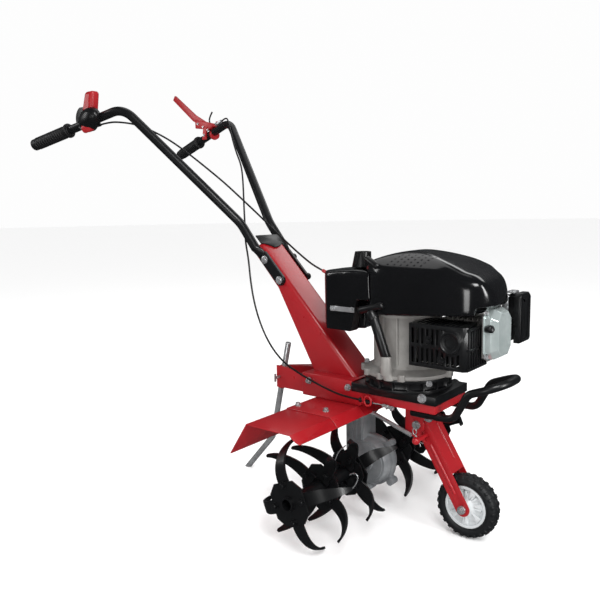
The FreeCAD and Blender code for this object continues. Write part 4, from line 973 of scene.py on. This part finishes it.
# %% Clutch lever
blade = copy_of("clutch_lever", "clutch_blade")
only(blade)
bpy.ops.object.mode_set(mode="EDIT")
bpy.ops.mesh.select_all(action="SELECT")
bpy.ops.mesh.bisect(plane_co=place(-810, 232, 1034), plane_no=(-0.2287, 0, 0.9735), clear_inner=True,
                    use_fill=True)
close_up()
ease(blade, 1.2, 32, 2)
cheek = block("clutch_cheek", (-878, 221, 1046), (-806, 233, 1076))
pick(cheek, facing(AHEAD))
bpy.ops.transform.translate(value=(0.022, 0, -0.017))
bpy.ops.transform.resize(value=(1.0, 1.0, 0.7))
close_up()
leg = slid(block("clutch_leg", (-842, 218, 1005), (-824, 226, 1046)), UP, (8, 0, 0))
band = ease(round_bar("clutch_band", (-796, 231, 1018), (-786, 229, 1020), 17.5, 32), 1.0)
clutch = joined("clutch_blade", [blade, ease(cheek, 3.0, 30, 3), ease(leg, 2.0, 30, 3), band])
done(clutch, "frame", "red_plastic", "clutch_lever")
screws("clutch_rivets", [((-862, 220.6, 1060), RIGHT, 6), ((-836, 220.6, 1047), RIGHT, 6),
                         ((-813, 220.6, 1036), RIGHT, 6), ((-831, 217.6, 1019), RIGHT, 7)], "frame")
wire("safety_catch", [(-805, 236, 1096), (-815, 236, 1084), (-822, 236, 1070), (-812, 234, 1050),
                      (-806, 232, 1036)], 2.6, "frame", "black_plastic")
adjuster = round_bar("cable_adjuster", (-774, 221.5, 1050), (-745, 221, 1058), 6.5, 6)
stepped(adjuster, (29, 0, 8), (1.5, 2))
done(ease(adjuster, 0.7), "frame", "zinc")

# %% [markdown]
# ## The column's fasteners
# Plastic knobs close the handle bolts on the left, and large bright washers show on the right. The wheel's
# axle and the drag stake have their form already, so all four are eased copies. The thumb screw that clamps
# the stake is a stem with two wings, made from one block whose ends lean back.

# %% Knobs, washers, axle, stake and thumb screw
eased("handle_knobs", "clamp_knobs", 2.0, "frame", "black_plastic", 3)
eased("handle_bolts", "clamp_bolts", 0.6, "frame", "zinc", 2)
eased("wheel_bolt", "wheel_axle", 1.4, "wheel_arm", "zinc", 3)
eased("drag_stake", "stake_bar", 0.8, "stake", "zinc", 2)
stem = round_bar("thumb_screw", (-301.5, -13, 299.3), (-301.5, -27, 299.3), 4.0, 20)
wings = block("thumb_wings", (-303.5, -30, 288), (-299.5, -24, 311))
for end in (1, -1):
    slid(wings, (0, 0, end), (0, -4, 0))
done(joined("thumb_screw", [ease(stem, 0.6), ease(wings, 1.2, 30, 3)]), "frame", "zinc")

# %% [markdown]
# ## The studio
# The machine stands on a plain pale floor that runs far beyond it, so that no edge shows. A disc is enough,
# because a smooth floor has no form of its own.

# %% Floor
WHITE = 0.985
bpy.ops.mesh.primitive_circle_add(vertices=96, radius=40.0, fill_type="NGON", location=(0.0, 0.0, 0.0))
floor = bpy.context.object
floor.name = "floor"
floor_finish = bpy.data.materials.new("floor_finish")
floor_finish.use_nodes = True
floor_shader = floor_finish.node_tree.nodes["Principled BSDF"]
floor_shader.inputs["Base Color"].default_value = (WHITE, WHITE, WHITE, 1.0)
floor_shader.inputs["Roughness"].default_value = 0.9
floor_shader.inputs["Specular IOR Level"].default_value = 0.1
floor.data.materials.append(floor_finish)
floor.visible_glossy = False
print("floor laid")

# %% [markdown]
# The surround is white too, but a glossy black hood would mirror it and turn grey. So reflections see a much
# dimmer sky than everything else does, and they don't see the floor.

# %% Surround
world = bpy.data.worlds.new("studio")
bpy.context.scene.world = world
world.use_nodes = True
surround = world.node_tree.nodes["Background"]
surround.inputs["Color"].default_value = (1.0, 1.0, 1.0, 1.0)
surround.inputs["Strength"].default_value = WHITE
dim = world.node_tree.nodes.new("ShaderNodeBackground")
dim.inputs["Color"].default_value = (0.9, 0.95, 1.0, 1.0)
dim.inputs["Strength"].default_value = 0.055
either = world.node_tree.nodes.new("ShaderNodeMixShader")
ray = world.node_tree.nodes.new("ShaderNodeLightPath")
world.node_tree.links.new(ray.outputs["Is Glossy Ray"], either.inputs["Fac"])
world.node_tree.links.new(surround.outputs["Background"], either.inputs[1])
world.node_tree.links.new(dim.outputs["Background"], either.inputs[2])
world.node_tree.links.new(either.outputs["Shader"], world.node_tree.nodes["World Output"].inputs["Surface"])
print("surround lit")

# %% [markdown]
# Long clean highlights on black plastic come from large soft lights. Area lights are used rather than lamps,
# because their size sets how soft a shadow's edge is and how wide a highlight is.


# %% Lights
def soft_light(name, spot, target, wide, high, watts):
    """A rectangular light at a spot, turned to face a target, both in metres."""
    data = bpy.data.lights.new(name, "AREA")
    data.shape = "RECTANGLE"
    data.size = wide
    data.size_y = high
    data.energy = watts
    light = bpy.data.objects.new(name, data)
    bpy.context.scene.collection.objects.link(light)
    light.location = spot
    light.rotation_euler = (Vector(target) - Vector(spot)).to_track_quat("-Z", "Y").to_euler()


MIDDLE = (0.0, 0.0, 0.5)
bpy.context.scene.view_settings.view_transform = "Standard"
soft_light("key", (1.9, -1.6, 2.4), MIDDLE, 0.9, 1.3, 45)
soft_light("front_strip", (3.0, -0.4, 1.2), MIDDLE, 0.5, 1.6, 38)
soft_light("left_fill", (-2.6, -1.8, 1.8), MIDDLE, 0.5, 1.6, 12)
soft_light("front_card", (0.72, -3.0, 0.42), (0.55, 0.0, 0.56), 1.0, 0.55, 11)
soft_light("top_soft", (-0.9, 0.9, 3.2), MIDDLE, 2.2, 2.2, 13)
soft_light("rear_rim", (0.2, 2.6, 2.6), MIDDLE, 2.2, 0.8, 12)
